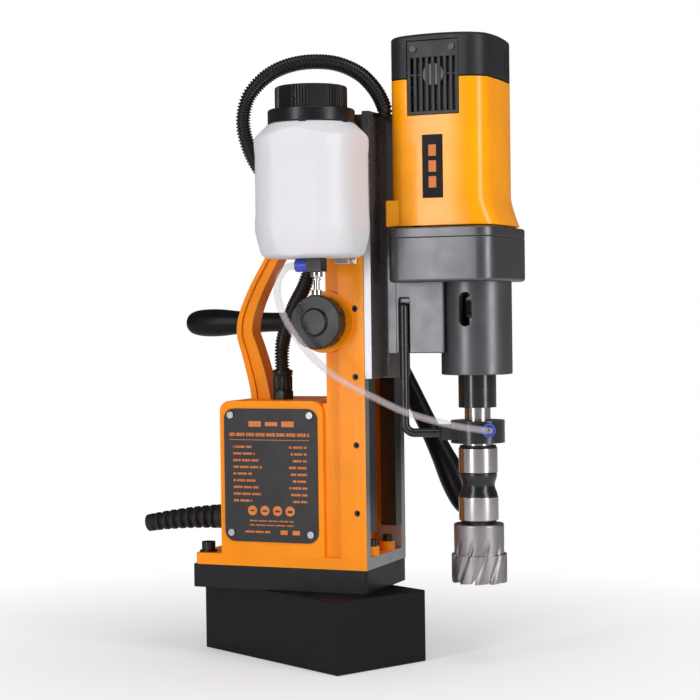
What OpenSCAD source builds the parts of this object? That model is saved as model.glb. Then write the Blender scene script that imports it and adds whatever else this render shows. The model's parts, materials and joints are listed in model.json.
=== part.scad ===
// Magnetic drill press: swivelling electromagnet base, orange column casting,
// rack-driven carriage with motor, two-stage gearbox, spindle and coolant feed.
// +Z is up, the drill faces -Y, and the feed arms are on the +X side.
// Origin: the swivel axis, at the level of the magnet's pole face.

/* [Magnet base] */
// Length of the magnet block
magnet_l = 200; // [190:2:210]
// Width of the magnet block
magnet_w = 105; // [103:1:110]
// Height of the magnet block
magnet_h = 65.4; // [60:0.2:66]
// Turn of the magnet under the column, in degrees
magnet_turn = -28; // [-45:1:15]
// Distance of the magnet's centre in front of the swivel axis
magnet_offset = 8; // [4:1:10]

/* [Column] */
// Width of the swivel plate, the column and the carriage
column_w = 99; // [97:1:101]
// Height of the top of the column
column_top = 400; // [392:1:404]
// Front face of the column (distance in front of the swivel axis)
column_front = 81; // [81:0.5:83]
// Height of the feed pinion's axis
feed_z = 312; // [308:1:316]
// Distance of the feed pinion's axis in front of the swivel axis
feed_y = 42.8; // [42.6:0.05:42.9]
// Height of the top of the control box
box_top = 240; // [236:1:244]

/* [Carriage] */
// Height of the carriage's lower edge
carriage_bottom = 260.5; // [258:0.5:264]
// Height of the carriage's upper edge
carriage_top = 501; // [490:1:506]
// Distance of the spindle axis in front of the swivel axis
spindle_y = 171; // [169:1:173]
// Diameter of the gear case's barrel
barrel_d = 64.3; // [62:0.1:66]

/* [Motor] */
// Width of the motor housing
motor_w = 90; // [88:1:92]
// Height of the seam between motor housing and cap
motor_top = 527.5; // [524:0.5:530]
// Height of the top of the cap
cap_top = 570; // [566:1:574]

/* [Cutter] */
// Diameter of the cutter's toothed end
cutter_d = 50.2; // [46:0.2:52]
// Height of the cutter's teeth above the pole face
cutter_low = 74.7; // [72:0.1:77]

/* [Coolant] */
// Width of the bottle
bottle_w = 92; // [88:1:92]
// Height of the bottle's underside
bottle_low = 368.5; // [366:0.5:370]

/* [Hidden] */
slip = 0.05;
fit = 0.02;
eps = 1;
$fn = 48;

half_w = column_w / 2;
front = -column_front;
plate_low = magnet_h + slip;
plate_top = 87;
plate_back = 95;
foot_top = 97.5;
foot_back = 92;
cheek = 9.5;
inner_w = half_w - cheek;
cheek_back = -56;
web_back = -42;
web_w = 45.5;
slot_back = -54;
gib_back = -66;
gib_low = 120;
tongue_w = 24.9;
feed_r = 8;
bush_r = 11;
boss_r = 28;
boss_x = half_w + 1.5;
boss_cavity = 12.5;

box_y0 = -39;
box_y1 = 64.7;
box_r = 10;
box_wall = 4.5;
label_y0 = -34;
label_y1 = 60;
label_z0 = 110;
label_z1 = 233;
panel_screw_in = 6;

gib_screw_z = [138.7, 200.4, 262.1, 323.8, 385.5];
gib_screw_y = -72;
gib_screw_r = 3;

slide_back = front - 0.3;
slide_face = -88;
rib_face = -96;
rib_w = 26;
tongue_low = 275;
rack_m = 1.5;
rack_pitch_y = -feed_y - 12;
rack_w = 9;
pinion_w = 8.8;

bracket_face = -104;
case_low = 350;
case_split = 386;
case_top = 395;
case_w = 110;
case_y0 = -202;
case_y1 = -104.1;
case_r = 14;
case_wall = 5;
barrel_r = barrel_d / 2;
barrel_low = 263;
drift_low = 306.6;
drift_high = 337.4;
drift_w = 12;

sy = -spindle_y;
spindle_r = 17.15;
spindle_bearing_h = 9.3;
nose_low = 233.2;
band_low = 174.4;
taper_r1 = 11.9;
taper_r2 = 9.9;
taper_top = nose_low + 79;
lay = [22.86, sy + 19.43];
arm = [0, sy + 22];
lay_turn = atan2(19.43, 22.86);
arm_turn = atan2(arm.y - lay.y, arm.x - lay.x);
low_gear_z = 356;
high_gear_z = 371.5;

motor_y0 = -193;
motor_y1 = -104.1;
motor_r = 16;
skirt_out = 8;
motor_low = 396;
motor_wall = 3;
skirt_top = 422;
lug_w = 15;
vent_y0 = -172;
vent_y1 = -124;
vent_z0 = 495;
vent_z1 = 560.5;

bottle = [-100, -54];
neck_r = 28.5;
tap = [-100, -57];
tap_w = 14;
valve_top = 356.5;
collet_up = 6;
hub_x0 = boss_x + 0.5;
grip_x = 80;
grip_r0 = 64;
grip_r1 = 206;
feed_angle = [0, 121.5, 243];

rod = [-31, -112.3];
rod_r = 4;
ring_low = 201.2;
ring_top = 221.4;
lug_turn = 122.3;
collet_turn = 217.5;
collet_z = 213.5;

panel_x = half_w + 1.5;
start_z = 212;
stop_z = 180;
switch_y = -12;
dial = [30, 152];
button_r = 8;
button_y = 30;
dial_shaft_r = 3;
rocker_axis_x = half_w - 5;

// ---------- shared shapes ----------

// A rectangle from corner a to corner b with true arcs at its corners.
module round_rect(a, b, r) {
    translate([a.x + r, a.y]) square([b.x - a.x - 2 * r, b.y - a.y]);
    translate([a.x, a.y + r]) square([b.x - a.x, b.y - a.y - 2 * r]);
    for (x = [a.x + r, b.x - r], y = [a.y + r, b.y - r]) translate([x, y]) circle(r);
}

// Extrudes a (Y, Z) outline along X from x0 to x1.
module along_x(x0, x1) {
    translate([x0, 0, 0]) rotate([90, 0, 90]) linear_extrude(x1 - x0) children();
}

// A cylinder along X, centred on (y, z).
module rod_x(x0, x1, y, z, r) {
    translate([x0, y, z]) rotate([0, 90, 0]) cylinder(h = x1 - x0, r = r);
}

// A cylinder along Z, centred on p.
module rod_z(z0, z1, p, r) {
    translate([p.x, p.y, z0]) cylinder(h = z1 - z0, r = r);
}

module ring_z(z0, z1, p, r_out, r_in) {
    difference() {
        rod_z(z0, z1, p, r_out);
        rod_z(z0 - eps, z1 + eps, p, r_in);
    }
}

// Socket head cap screw, its head's underside at the origin, shank down.
module cap_screw(d, shank) {
    difference() {
        union() {
            cylinder(h = d, r = 0.8 * d);
            translate([0, 0, -shank]) cylinder(h = shank + eps, r = d / 2);
        }
        translate([0, 0, d / 2]) cylinder(h = d, r = 0.45 * d, $fn = 6);
    }
}

// Small pan-head screw whose head stands on the plane x = 0, shank towards +X.
module panel_screw() {
    difference() {
        rotate([0, 90, 0]) union() {
            translate([0, 0, -1.6]) cylinder(h = 1.6, r = 3.2);
            translate([0, 0, -0.2]) cylinder(h = 4.2, r = 1.6);
        }
        for (a = [0, 90]) rotate([a, 0, 0]) cube([2.2, 0.9, 3.6], center = true);
    }
}

// Outline of an involute gear with stub teeth, one tooth centred on +X.
function inv_deg(r, rb) = sqrt(max(0, r * r - rb * rb)) / rb * 180 / PI - acos(min(1, rb / r));
function gear_points(z, m, play) =
    let (rp = z * m / 2, rb = rp * cos(25), ra = rp + 0.85 * m, rf = rp - 1.1 * m,
        half = 90 / z - play / rp * 90 / PI,
        radii = [for (i = [0:4]) max(rb, rf) + (ra - max(rb, rf)) * i / 4])
    [for (k = [0:z - 1]) let (c = 360 * k / z) each concat(
        [let (w = half + inv_deg(rp, rb) - inv_deg(max(rb, rf), rb))
            rf * [cos(c - w), sin(c - w)]],
        [for (r = radii) let (w = half + inv_deg(rp, rb) - inv_deg(r, rb))
            r * [cos(c - w), sin(c - w)]],
        [for (i = [4:-1:0]) let (r = radii[i], w = half + inv_deg(rp, rb) - inv_deg(r, rb))
            r * [cos(c + w), sin(c + w)]],
        [let (w = half + inv_deg(rp, rb) - inv_deg(max(rb, rf), rb))
            rf * [cos(c + w), sin(c + w)]])];
module gear(z, m, h, play = 0.14) {
    linear_extrude(h) polygon(gear_points(z, m, play));
}

// A direction that no cable ever runs along, so its rings turn steadily from point to point.
cable_side = [1, 0, 1];

// A round tube or cable swept through a list of points.
module cable(points, r, sides = 16) {
    last = len(points) - 1;
    rings = [for (i = [0:last]) let (
        d = points[min(i + 1, last)] - points[max(i - 1, 0)],
        u = cross(d, cable_side) / norm(cross(d, cable_side)),
        v = cross(d, u) / norm(cross(d, u)))
        [for (k = [0:sides - 1]) points[i] + r * (cos(360 * k / sides) * u + sin(360 * k / sides) * v)]];
    polyhedron(
        points = [for (ring = rings) each ring],
        faces = concat(
            [[for (k = [0:sides - 1]) k]],
            [for (i = [0:last - 1], k = [0:sides - 1]) let (n = (k + 1) % sides)
                [i * sides + k, (i + 1) * sides + k, (i + 1) * sides + n, i * sides + n]],
            [[for (k = [sides - 1:-1:0]) last * sides + k]]));
}

// ---------- magnet ----------

module in_magnet() {
    rotate([0, 0, magnet_turn]) translate([0, -magnet_offset, 0]) children();
}

module coil_track(w) {
    difference() {
        round_rect([-30 - w / 2, -76 - w / 2], [30 + w / 2, 76 + w / 2], 12 + w / 2);
        round_rect([-30 + w / 2, -76 + w / 2], [30 - w / 2, 76 - w / 2], 12 - w / 2);
    }
}

module magnet_core() {
    color([0.12, 0.12, 0.13]) in_magnet() difference() {
        translate([-magnet_w / 2, -magnet_l / 2, 0]) cube([magnet_w, magnet_l, magnet_h]);
        translate([0, 0, -eps]) linear_extrude(46 + eps) coil_track(18);
        translate([0, magnet_offset, 46]) cylinder(h = magnet_h, r = 8);
    }
}

module magnet_coil() {
    color([0.72, 0.42, 0.2]) in_magnet() translate([0, 0, 8]) linear_extrude(37.9) coil_track(17.6);
}

module coil_potting() {
    color([0.2, 0.2, 0.22]) in_magnet() translate([0, 0, 0.5]) linear_extrude(7.4) coil_track(17.9);
}

module pivot_bolt() {
    color([0.6, 0.6, 0.62]) {
        translate([0, 0, 46.1]) cylinder(h = 26, r = 8 - fit);
        translate([0, 0, 72]) cylinder(h = 14, r = 14);
    }
}

// ---------- column ----------

module swivel_plate() {
    color([0.18, 0.18, 0.2]) difference() {
        translate([0, 0, plate_low]) linear_extrude(plate_top - plate_low)
            round_rect([-half_w, front], [half_w, plate_back], 3);
        translate([0, 0, plate_low - eps]) cylinder(h = 40, r = 8 + slip);
        translate([0, 0, 71.9]) cylinder(h = 30, r = 14 + slip);
        for (p = foot_bolt_at()) rod_z(72, 100, p, p.y > 0 ? 4 : 3);
    }
}

function foot_bolt_at() = [[-38, 84], [38, 84], [-20, -74], [20, -74]];

module foot_bolts() {
    color([0.1, 0.1, 0.1]) for (p = foot_bolt_at()) {
        if (p.y > 0) {
            translate([p.x, p.y, foot_top + 1.5]) cap_screw(8, 26);
            translate([p.x, p.y, foot_top]) difference() {
                cylinder(h = 1.5, r = 8.5);
                translate([0, 0, -eps]) cylinder(h = 4, r = 4 + fit);
            }
        } else {
            translate([p.x, p.y, 106]) cap_screw(6, 33);
        }
    }
}

// Smooth curve that starts and ends half way along the first and last legs of a control polygon.
function spline(p, steps) = [for (i = [1:len(p) - 2], k = [0:steps - 1])
    let (t = k / steps, a = (p[i - 1] + p[i]) / 2, c = (p[i] + p[i + 1]) / 2)
    (1 - t) * (1 - t) * a + 2 * t * (1 - t) * p[i] + t * t * c];

// Centre line of the carry handle in (Y, Z): lower leg, bulge, upper leg, top bar.
handle_path = spline([[40, box_top - 20], [40, box_top + 5], [51, 285], [59, 306], [48, 337],
    [28, 371], [14, 394], [-10, 391], [-100, 391]], 6);
handle_low_w = 19;
handle_high_w = 12;

// The handle's outline between two distances from its inner edge, as shares of its width.
module handle_outline(inner, outer) {
    last = len(handle_path) - 1;
    side = [for (i = [0:last]) let (
        d = handle_path[min(i + 1, last)] - handle_path[max(i - 1, 0)],
        w = handle_low_w + (handle_high_w - handle_low_w) * min(1, i / 26))
        [handle_path[i], [d.y, -d.x] / norm(d) * w]];
    polygon(concat(
        [for (e = side) e[0] + e[1] * (outer - 0.5)],
        [for (i = [last:-1:0]) side[i][0] + side[i][1] * (inner - 0.5)]));
}

// The control box's side outline in (Y, Z), rounded at the top.
module box_outline() {
    translate([box_y0, foot_top - 2]) square([box_y1 - box_y0, box_top - box_r - foot_top + 2]);
    translate([box_y0 + box_r, foot_top - 2])
        square([box_y1 - box_y0 - 2 * box_r, box_top - foot_top + 2]);
    for (y = [box_y0 + box_r, box_y1 - box_r]) translate([y, box_top - box_r]) circle(box_r);
}

module column_profile() {
    translate([-half_w, front]) square([column_w, cheek_back - front]);
    translate([-web_w, cheek_back - eps]) square([2 * web_w, web_back - cheek_back + eps]);
}

module column_body() {
    difference() {
        union() {
            translate([0, 0, plate_top]) linear_extrude(foot_top - plate_top)
                round_rect([-half_w, front], [half_w, foot_back], 3);
            translate([0, 0, plate_top]) linear_extrude(column_top - plate_top) column_profile();
            along_x(-half_w, half_w) box_outline();
            translate([-web_w, web_back - eps, plate_top])
                cube([2 * web_w, box_y0 - web_back + 2 * eps, box_top - plate_top - 2]);
            rod_x(-boss_x, boss_x, -feed_y, feed_z, boss_r);
            along_x(-9.5, 9.5) handle_outline(0, 1);
            along_x(-12, 12) handle_outline(0.68, 1);
            along_x(-10, 10) difference() {
                translate([web_back - eps, box_top - 3]) square([26, 28]);
                translate([web_back + 25, box_top + 25]) circle(25.4);
            }
        }
        translate([-inner_w, front - eps, foot_top])
            cube([2 * inner_w, slot_back - front + eps, column_top]);
    }
    for (p = foot_bolt_at()) if (p.y < 0) rod_z(plate_top, 106, p, 7);
}

module column_casting() {
    color([0.96, 0.52, 0.08]) difference() {
        column_body();
        along_x(-half_w + box_wall, half_w + eps)
            round_rect([box_y0 + box_wall, foot_top + 3], [box_y1 - box_wall, box_top - box_wall], 6);
        rod_x(-boss_cavity, boss_cavity, -feed_y, feed_z, 15);
        translate([-rack_w - 1, slot_back - eps, foot_top]) cube([2 * rack_w + 2, eps + 1, column_top]);
        rod_x(-boss_x - eps, boss_x + eps, -feed_y, feed_z, bush_r + fit);
        for (z = gib_screw_z, x = [-half_w - eps, inner_w - eps])
            rod_x(x, x + cheek + 2 * eps, gib_screw_y, z, gib_screw_r + slip);
        for (p = foot_bolt_at()) rod_z(plate_top - eps, 120, p, p.y > 0 ? 4 + slip : 3 + slip);
        rod_z(box_top - 10, box_top + 10, [-14, 16], 7 + fit);
        translate([0, box_y1 - 10, 127]) rotate([-90, 0, 0]) cylinder(h = 20, r = 8);
        for (y = label_screw_y(), z = label_screw_z())
            rod_x(-half_w - eps, -half_w + 4.4, y, z, 1.6 + fit);
    }
}

function label_screw_y() = [label_y0 + panel_screw_in + 1, label_y1 - panel_screw_in - 1];
function label_screw_z() = [label_z0 + panel_screw_in + 2, label_z1 - panel_screw_in];
function panel_screw_y() = [box_y0 + 8, box_y1 - 8];
function panel_screw_z() = [116, 224];

module label_plate() {
    color([0.16, 0.16, 0.19]) difference() {
        along_x(-half_w - 1.2, -half_w) round_rect([label_y0, label_z0], [label_y1, label_z1], 10);
        for (y = label_screw_y(), z = label_screw_z()) rod_x(-60, -40, y, z, 1.7);
    }
}

module panel_screws() {
    color([0.75, 0.75, 0.77]) {
        for (y = label_screw_y(), z = label_screw_z())
            translate([-half_w - 1.2, y, z]) panel_screw();
        for (z = panel_screw_z(), y = panel_screw_y())
            translate([panel_x, y, z]) mirror([1, 0, 0]) panel_screw();
    }
}

module control_panel() {
    color([0.16, 0.16, 0.19]) difference() {
        union() {
            along_x(half_w, panel_x) round_rect([box_y0 + 1, foot_top + 3], [box_y1 - 1, box_top - 1], 9);
            for (z = [start_z, stop_z]) rod_x(half_w - 8, panel_x + 2, button_y, z, 11);
            rod_x(half_w - 6, panel_x, dial.x, dial.y, 6);
            for (y = [switch_y - 9.5, switch_y + 6.5])
                translate([half_w - 10, y, start_z - 16]) cube([10.5, 3, 16]);
        }
        for (z = [start_z, stop_z]) rod_x(0, 80, button_y, z, button_r + slip);
        rod_x(0, 80, dial.x, dial.y, dial_shaft_r + slip);
        translate([half_w - 20, switch_y - 6.5, start_z - 20]) cube([40, 13, 24]);
        rod_x_y(switch_y - 11, switch_y + 11, 2 + slip);
        for (z = panel_screw_z(), y = panel_screw_y()) rod_x(0, 80, y, z, 1.6 + fit);
    }
}

// A cylinder along Y on the rocker's axis.
module rod_x_y(y0, y1, r) {
    translate([rocker_axis_x, y0, start_z - 8]) rotate([-90, 0, 0]) cylinder(h = y1 - y0, r = r);
}

module magnet_switch() {
    color([0.75, 0.1, 0.08]) {
        difference() {
            rod_x_y(switch_y - 6.2, switch_y + 6.2, 11);
            translate([rocker_axis_x - 20, switch_y - 10, start_z - 30]) cube([16, 20, 50]);
            translate([rocker_axis_x + 12.5, switch_y - 10, start_z - 8])
                rotate([-90, 0, 0]) cylinder(h = 20, r = 5);
        }
        rod_x_y(switch_y - 9, switch_y + 9, 2);
    }
}

module push_button(z, flange_x) {
    rod_x(half_w - 12, panel_x + 5.5, button_y, z, button_r);
    rod_x(half_w - 14, half_w - 12, button_y, z, flange_x);
}

module start_button() {
    color([0.1, 0.6, 0.2]) push_button(start_z, 9.5);
}

module stop_button() {
    color([0.8, 0.1, 0.08]) push_button(stop_z, 9.5);
}

module speed_dial() {
    color([0.1, 0.1, 0.11]) {
        difference() {
            rod_x(panel_x + 0.2, panel_x + 9, dial.x, dial.y, 13);
            translate([panel_x + 8, dial.x - 0.6, dial.y + 3]) cube([2, 1.2, 12]);
        }
        rod_x(half_w - 10, panel_x + 1, dial.x, dial.y, dial_shaft_r);
    }
}

module circuit_board() {
    color([0.05, 0.35, 0.2]) {
        translate([2, box_y0 + 9, 106]) cube([1.6, box_y1 - box_y0 - 18, 54]);
        translate([3.6, box_y0 + 16, 112]) cube([18, 24, 20]);
        translate([3.6, 34, 118]) rotate([0, 90, 0]) cylinder(h = 24, r = 9);
        for (z = [112, 152], y = [box_y0 + 13, box_y1 - 13]) rod_x(-half_w + box_wall, 2, y, z, 3);
    }
}

module gibs() {
    color([0.45, 0.45, 0.47]) for (s = [-1, 1]) scale([s, 1, 1])
        translate([tongue_w + 0.1, front, gib_low])
            cube([inner_w - tongue_w - 0.1 - fit, gib_back - front, column_top - gib_low - 1]);
}

module gib_screws() {
    color([0.08, 0.08, 0.08]) for (z = gib_screw_z, s = [-1, 1]) scale([s, 1, 1]) difference() {
        rod_x(inner_w, half_w - 2, gib_screw_y, z, gib_screw_r);
        translate([half_w - 5, gib_screw_y, z]) rotate([0, 90, 0]) cylinder(h = 4, r = 1.7, $fn = 6);
    }
}

module pinion_bushes() {
    color([0.75, 0.6, 0.3]) for (x = [-half_w, boss_cavity]) difference() {
        rod_x(x, x + half_w - boss_cavity, -feed_y, feed_z, bush_r);
        rod_x(x - eps, x + half_w, -feed_y, feed_z, feed_r + slip);
    }
}

// ---------- electrics and coolant on the column ----------

module conduit_gland() {
    color([0.08, 0.08, 0.09]) translate([-14, 16, 0]) difference() {
        union() {
            translate([0, 0, box_top - 7]) cylinder(h = 10, r = 7);
            translate([0, 0, box_top]) cylinder(h = 8, r = 10.5, $fn = 6);
            translate([0, 0, box_top + 8]) cylinder(h = 20, r = 8.6);
        }
        translate([0, 0, box_top - 10]) cylinder(h = 60, r = 5);
    }
}

// Strain relief of the power cord: a plain collar, then ribs that get thinner.
module cord_boot() {
    ribs = 8;
    pitch = 9.6;
    collar_low = 1;
    color([0.06, 0.06, 0.07]) translate([0, box_y1, 127]) rotate([-94.5, 0, 0])
        rotate_extrude() polygon(concat(
            [[0, -6], [7, -6], [7, collar_low], [11.8, collar_low], [11.8, 27]],
            [for (i = [0:ribs - 1]) let (r = 11.6 - i * 0.42, y = 27 + i * pitch) each
                [[r - 3.4, y + 0.6], [r - 3.4, y + 2.6], [r, y + 4.2], [r, y + 8]]],
            [[6, 27 + ribs * pitch], [0, 27 + ribs * pitch]]));
}

module bottle_bracket() {
    color([0.75, 0.72, 0.66]) {
        translate([bottle.x + bottle_w / 2 + 0.1, -76, bottle_low - 5])
            cube([-half_w - bottle.x - bottle_w / 2 - 0.1, 18, 34]);
        translate([bottle.x + bottle_w / 2 - 12, -74, bottle_low - 5]) cube([14, 14, 4.8]);
    }
}

module bottle_form(inset) {
    w = bottle_w / 2 - inset;
    translate([bottle.x, bottle.y, bottle_low]) intersection() {
        translate([0, 0, inset]) linear_extrude(117 - 2 * inset) round_rect([-w, -w], [w, w], 30 - inset);
        rotate_extrude() polygon([[0, inset], [42 - inset, inset], [47 - inset, 3 + inset],
            [52.9 - inset, 26], [52.9 - inset, 103 - inset], [38.9 - inset, 117 - inset],
            [0, 117 - inset]]);
    }
}

module coolant_bottle() {
    color([0.93, 0.93, 0.94]) difference() {
        union() {
            bottle_form(0);
            rod_z(bottle_low + 116, bottle_low + 133, bottle, neck_r);
        }
        bottle_form(2);
        rod_z(bottle_low + 95, bottle_low + 150, bottle, neck_r - 2);
        rod_z(bottle_low - eps, bottle_low + 5, tap, 5 + fit);
    }
}

module bottle_cap() {
    color([0.08, 0.08, 0.09]) difference() {
        union() {
            rod_z(bottle_low + 117.2, bottle_low + 130, bottle, 38.2);
            rod_z(bottle_low + 129, bottle_low + 150, bottle, 30.6);
            for (a = [0:12:359]) translate([bottle.x, bottle.y, bottle_low + 129])
                rotate([0, 0, a]) translate([30, -1.5, 0]) cube([1.6, 3, 20]);
        }
        rod_z(bottle_low + 116, bottle_low + 148, bottle, neck_r + slip);
    }
}

module coolant_tap() {
    color([0.06, 0.06, 0.07]) difference() {
        union() {
            translate([tap.x - tap_w / 2, tap.y - tap_w / 2, valve_top])
                cube([tap_w, tap_w, bottle_low - valve_top - 0.1]);
            rod_z(bottle_low - 1, bottle_low + 6, tap, 5);
        }
        rod_z(valve_top - eps, valve_top + 6, [tap.x, tap.y], 2.6 + slip);
        rod_z(valve_top, bottle_low + 10, tap, 2);
        translate([tap.x, tap.y, valve_top + collet_up]) rotate([-90, 0, 0]) cylinder(h = 20, r = 5 + fit);
    }
}

module tap_collet() {
    color([0.15, 0.25, 0.8]) translate([tap.x, tap.y, valve_top + collet_up]) rotate([-90, 0, 0])
        difference() {
            union() {
                translate([0, 0, 5.5]) cylinder(h = 4, r = 5);
                translate([0, 0, tap_w / 2 + 0.1]) cylinder(h = 12, r = 5.9);
            }
            cylinder(h = 40, r = 3.3);
        }
}

module needle_valve() {
    color([0.75, 0.74, 0.7]) translate([tap.x, tap.y, 0]) {
        translate([0, 0, 338]) cylinder(h = 24, r = 2.6);
        translate([0, 0, 336]) cylinder(h = 4.5, r = 4.6);
        translate([0, 0, 349]) cylinder(h = 1.8, r = 3.8);
        translate([0, 0, 352]) cylinder(h = 4.2, r = 5.4);
    }
}

module coolant_hose() {
    color([0.9, 0.9, 0.92]) cable([[tap.x, -36, 362.5], [-99.5, -27, 360], [-99, -19.5, 349],
        [-98, -19, 332], [-95, -26, 312], [-91, -40, 290], [-86, -59, 270], [-79, -78, 256],
        [-71, -99, 244.5], [-62, -119, 233.5], [-53, -140, 225.5], [-46, -157, 220.5],
        [-39.5, -173, 216.8], [-33.9, -185.3, 214.7], [-32.2, -188, 214.2], [-29.4, -189.8, 213.8],
        [-26, -190, 213.6], [-23, -188.7, 213.5], [-21.4, -187.45, 213.5]], 3.2);
}

module cable_conduit() {
    color([0.07, 0.07, 0.08]) cable([[-14, 16, 269], [-15, 16, 285], [-18, 11, 303],
        [-22, 0, 326], [-26, -14, 348], [-28, -20, 370], [-30, -13, 398], [-30, 5, 428],
        [-30, 30, 456], [-30, 42, 480], [-30, 45.5, 503], [-30, 38, 525], [-30, 17, 542.5],
        [-30, -11, 550.5], [-30, -44, 549], [-30, -70, 538.5], [-32, -87.5, 522], [-34, -97, 505],
        [-34, -97, 496]], 6.6);
}

// ---------- carriage ----------

module slide() {
    color([0.42, 0.42, 0.45]) difference() {
        union() {
            translate([-half_w, slide_face, carriage_bottom])
                cube([column_w, slide_back - slide_face, carriage_top - carriage_bottom]);
            translate([-rib_w, rib_face, carriage_bottom])
                cube([2 * rib_w, slide_face - rib_face + eps, carriage_top - carriage_bottom]);
            translate([-tongue_w, slide_back - eps, tongue_low])
                cube([2 * tongue_w, gib_back - slide_back + 2 * eps, carriage_top - tongue_low]);
            translate([-inner_w + slip, gib_back + slip, tongue_low])
                cube([2 * (inner_w - slip), slot_back - gib_back - 2 * slip, carriage_top - tongue_low]);
        }
        translate([-rack_w - fit, rack_pitch_y - 7, tongue_low - eps])
            cube([2 * (rack_w + fit), 20, carriage_top]);
        for (z = slide_screw_z(), x = [-16, 16]) translate([x, rib_face - eps, z])
            rotate([-90, 0, 0]) cylinder(h = 14, r = 3);
    }
}

function slide_screw_z() = [300, 400, 470];

// Rack with straight-flanked teeth, in mesh with the pinion's tooth at +Y's far side.
module rack() {
    pitch = PI * rack_m;
    low = tongue_low;
    count = floor((carriage_top - low - 6) / pitch);
    phase = (feed_z - low) - pitch * floor((feed_z - low) / pitch);
    play = 0.14;
    half_p = pitch / 4 - play / 2;
    tip = 0.85 * rack_m;
    root = 1.15 * rack_m;
    t = tan(25);
    color([0.55, 0.55, 0.57]) {
        translate([-rack_w, rack_pitch_y - 7 + fit, low])
            cube([2 * rack_w, 7 - root - fit, carriage_top - low]);
        for (i = [1:count - 1])
            translate([-rack_w, rack_pitch_y, low + phase + (i - 0.5) * pitch])
                rotate([90, 0, 90]) linear_extrude(2 * rack_w) polygon([
                    [-root - 0.2, -half_p - (root + 0.2) * t], [tip, -half_p + tip * t],
                    [tip, half_p - tip * t], [-root - 0.2, half_p + (root + 0.2) * t]]);
    }
}

module slide_screws() {
    color([0.12, 0.12, 0.12]) for (z = slide_screw_z(), x = [-16, 16])
        translate([x, bracket_face - fit, z]) rotate([90, 0, 0]) cap_screw(6, 20);
}

module motor_bracket() {
    color([0.2, 0.2, 0.22]) difference() {
        translate([-28, bracket_face, 283]) cube([56, rib_face - bracket_face - fit, 212]);
        for (z = slide_screw_z(), x = [-16, 16]) translate([x, bracket_face - eps, z])
            rotate([-90, 0, 0]) cylinder(h = 12, r = 3 + slip);
    }
}

// ---------- gearbox ----------

module case_outline(inset) {
    round_rect([-case_w / 2 + inset, case_y0 + inset], [case_w / 2 - inset, case_y1 - inset],
        case_r - inset);
}

module gear_case() {
    color([0.3, 0.3, 0.32]) difference() {
        union() {
            translate([0, 0, case_low - 4]) linear_extrude(case_split - case_low + 4) case_outline(0);
            rod_z(barrel_low, case_low, [0, sy], barrel_r);
            translate([-30, -150, 283]) cube([60, -150 * -1 + bracket_face - 0.1, 70]);
        }
        translate([0, 0, case_low + 1]) linear_extrude(60) case_outline(case_wall);
        rod_z(barrel_low - eps, case_low + 10, [0, sy], 20);
        rod_z(barrel_low + 3, barrel_low + 3.2 + spindle_bearing_h, [0, sy], 26 + fit);
        rod_z(case_low - 12.5, case_low + 10, [0, sy], 26 + fit);
        along_x(-60, 60) round_rect([sy - drift_w / 2, drift_low], [sy + drift_w / 2, drift_high], 5.4);
        rod_z(case_low - 3, case_low + 10, lay, 9.5 + fit);
        translate([rod.x, rod.y, 280]) cylinder(h = 50, r = rod_r + 0.6);
        translate([rod.x, rod.y, 330]) sphere(rod_r + 0.6);
        for (z = slide_screw_z(), x = [-16, 16]) translate([x, bracket_face + eps, z])
            rotate([90, 0, 0]) cylinder(h = 12, r = 7);
    }
}

module gear_cover() {
    color([0.3, 0.3, 0.32]) difference() {
        translate([0, 0, case_split]) linear_extrude(case_top - case_split) case_outline(0);
        rod_z(case_split - eps, case_top + eps, arm, 12 + fit);
        rod_z(case_split - eps, case_top - 3, lay, 9 + fit);
    }
}

// Screws that stand on vertical walls: two on the gear case, two on each vent grille.
module housing_screws() {
    color([0.72, 0.72, 0.74]) {
        for (s = [-1, 1]) scale([s, 1, 1]) {
            translate([-case_w / 2 - 0.02, -128, 377]) side_screw();
            for (y = [vent_y1 - 6, vent_y0 + 6]) translate([-motor_w / 2 - 0.62, y, vent_z1 - 7])
                side_screw();
        }
    }
}

module side_screw() {
    difference() {
        rotate([0, 90, 0]) translate([0, 0, -1.4]) cylinder(h = 1.4, r = 2.9);
        cube([2, 0.8, 3.4], center = true);
        cube([2, 3.4, 0.8], center = true);
    }
}

// ---------- motor ----------

module motor_outline(inset) {
    round_rect([-motor_w / 2 + inset, motor_y0 + inset], [motor_w / 2 - inset, motor_y1 - inset],
        motor_r - inset);
}

module vent_opening(grow) {
    for (s = [-1, 1]) scale([s, 1, 1]) translate([-motor_w / 2 - 2, vent_y0 - grow, vent_z0 - grow])
        cube([2 + motor_wall + 1, vent_y1 - vent_y0 + 2 * grow, vent_z1 - vent_z0 + 2 * grow]);
}

// The housing's lower edge, flared towards the front.
module motor_skirt() {
    intersection() {
        translate([0, 0, motor_low]) linear_extrude(skirt_top - motor_low)
            round_rect([-motor_w / 2, motor_y0 - skirt_out], [motor_w / 2, motor_y1], motor_r);
        along_x(-motor_w, motor_w) polygon([[motor_y0 - skirt_out, motor_low],
            [motor_y0 + 0.5, skirt_top], [motor_y1 - motor_r, skirt_top], [motor_y1 - motor_r, motor_low]]);
    }
}

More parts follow.
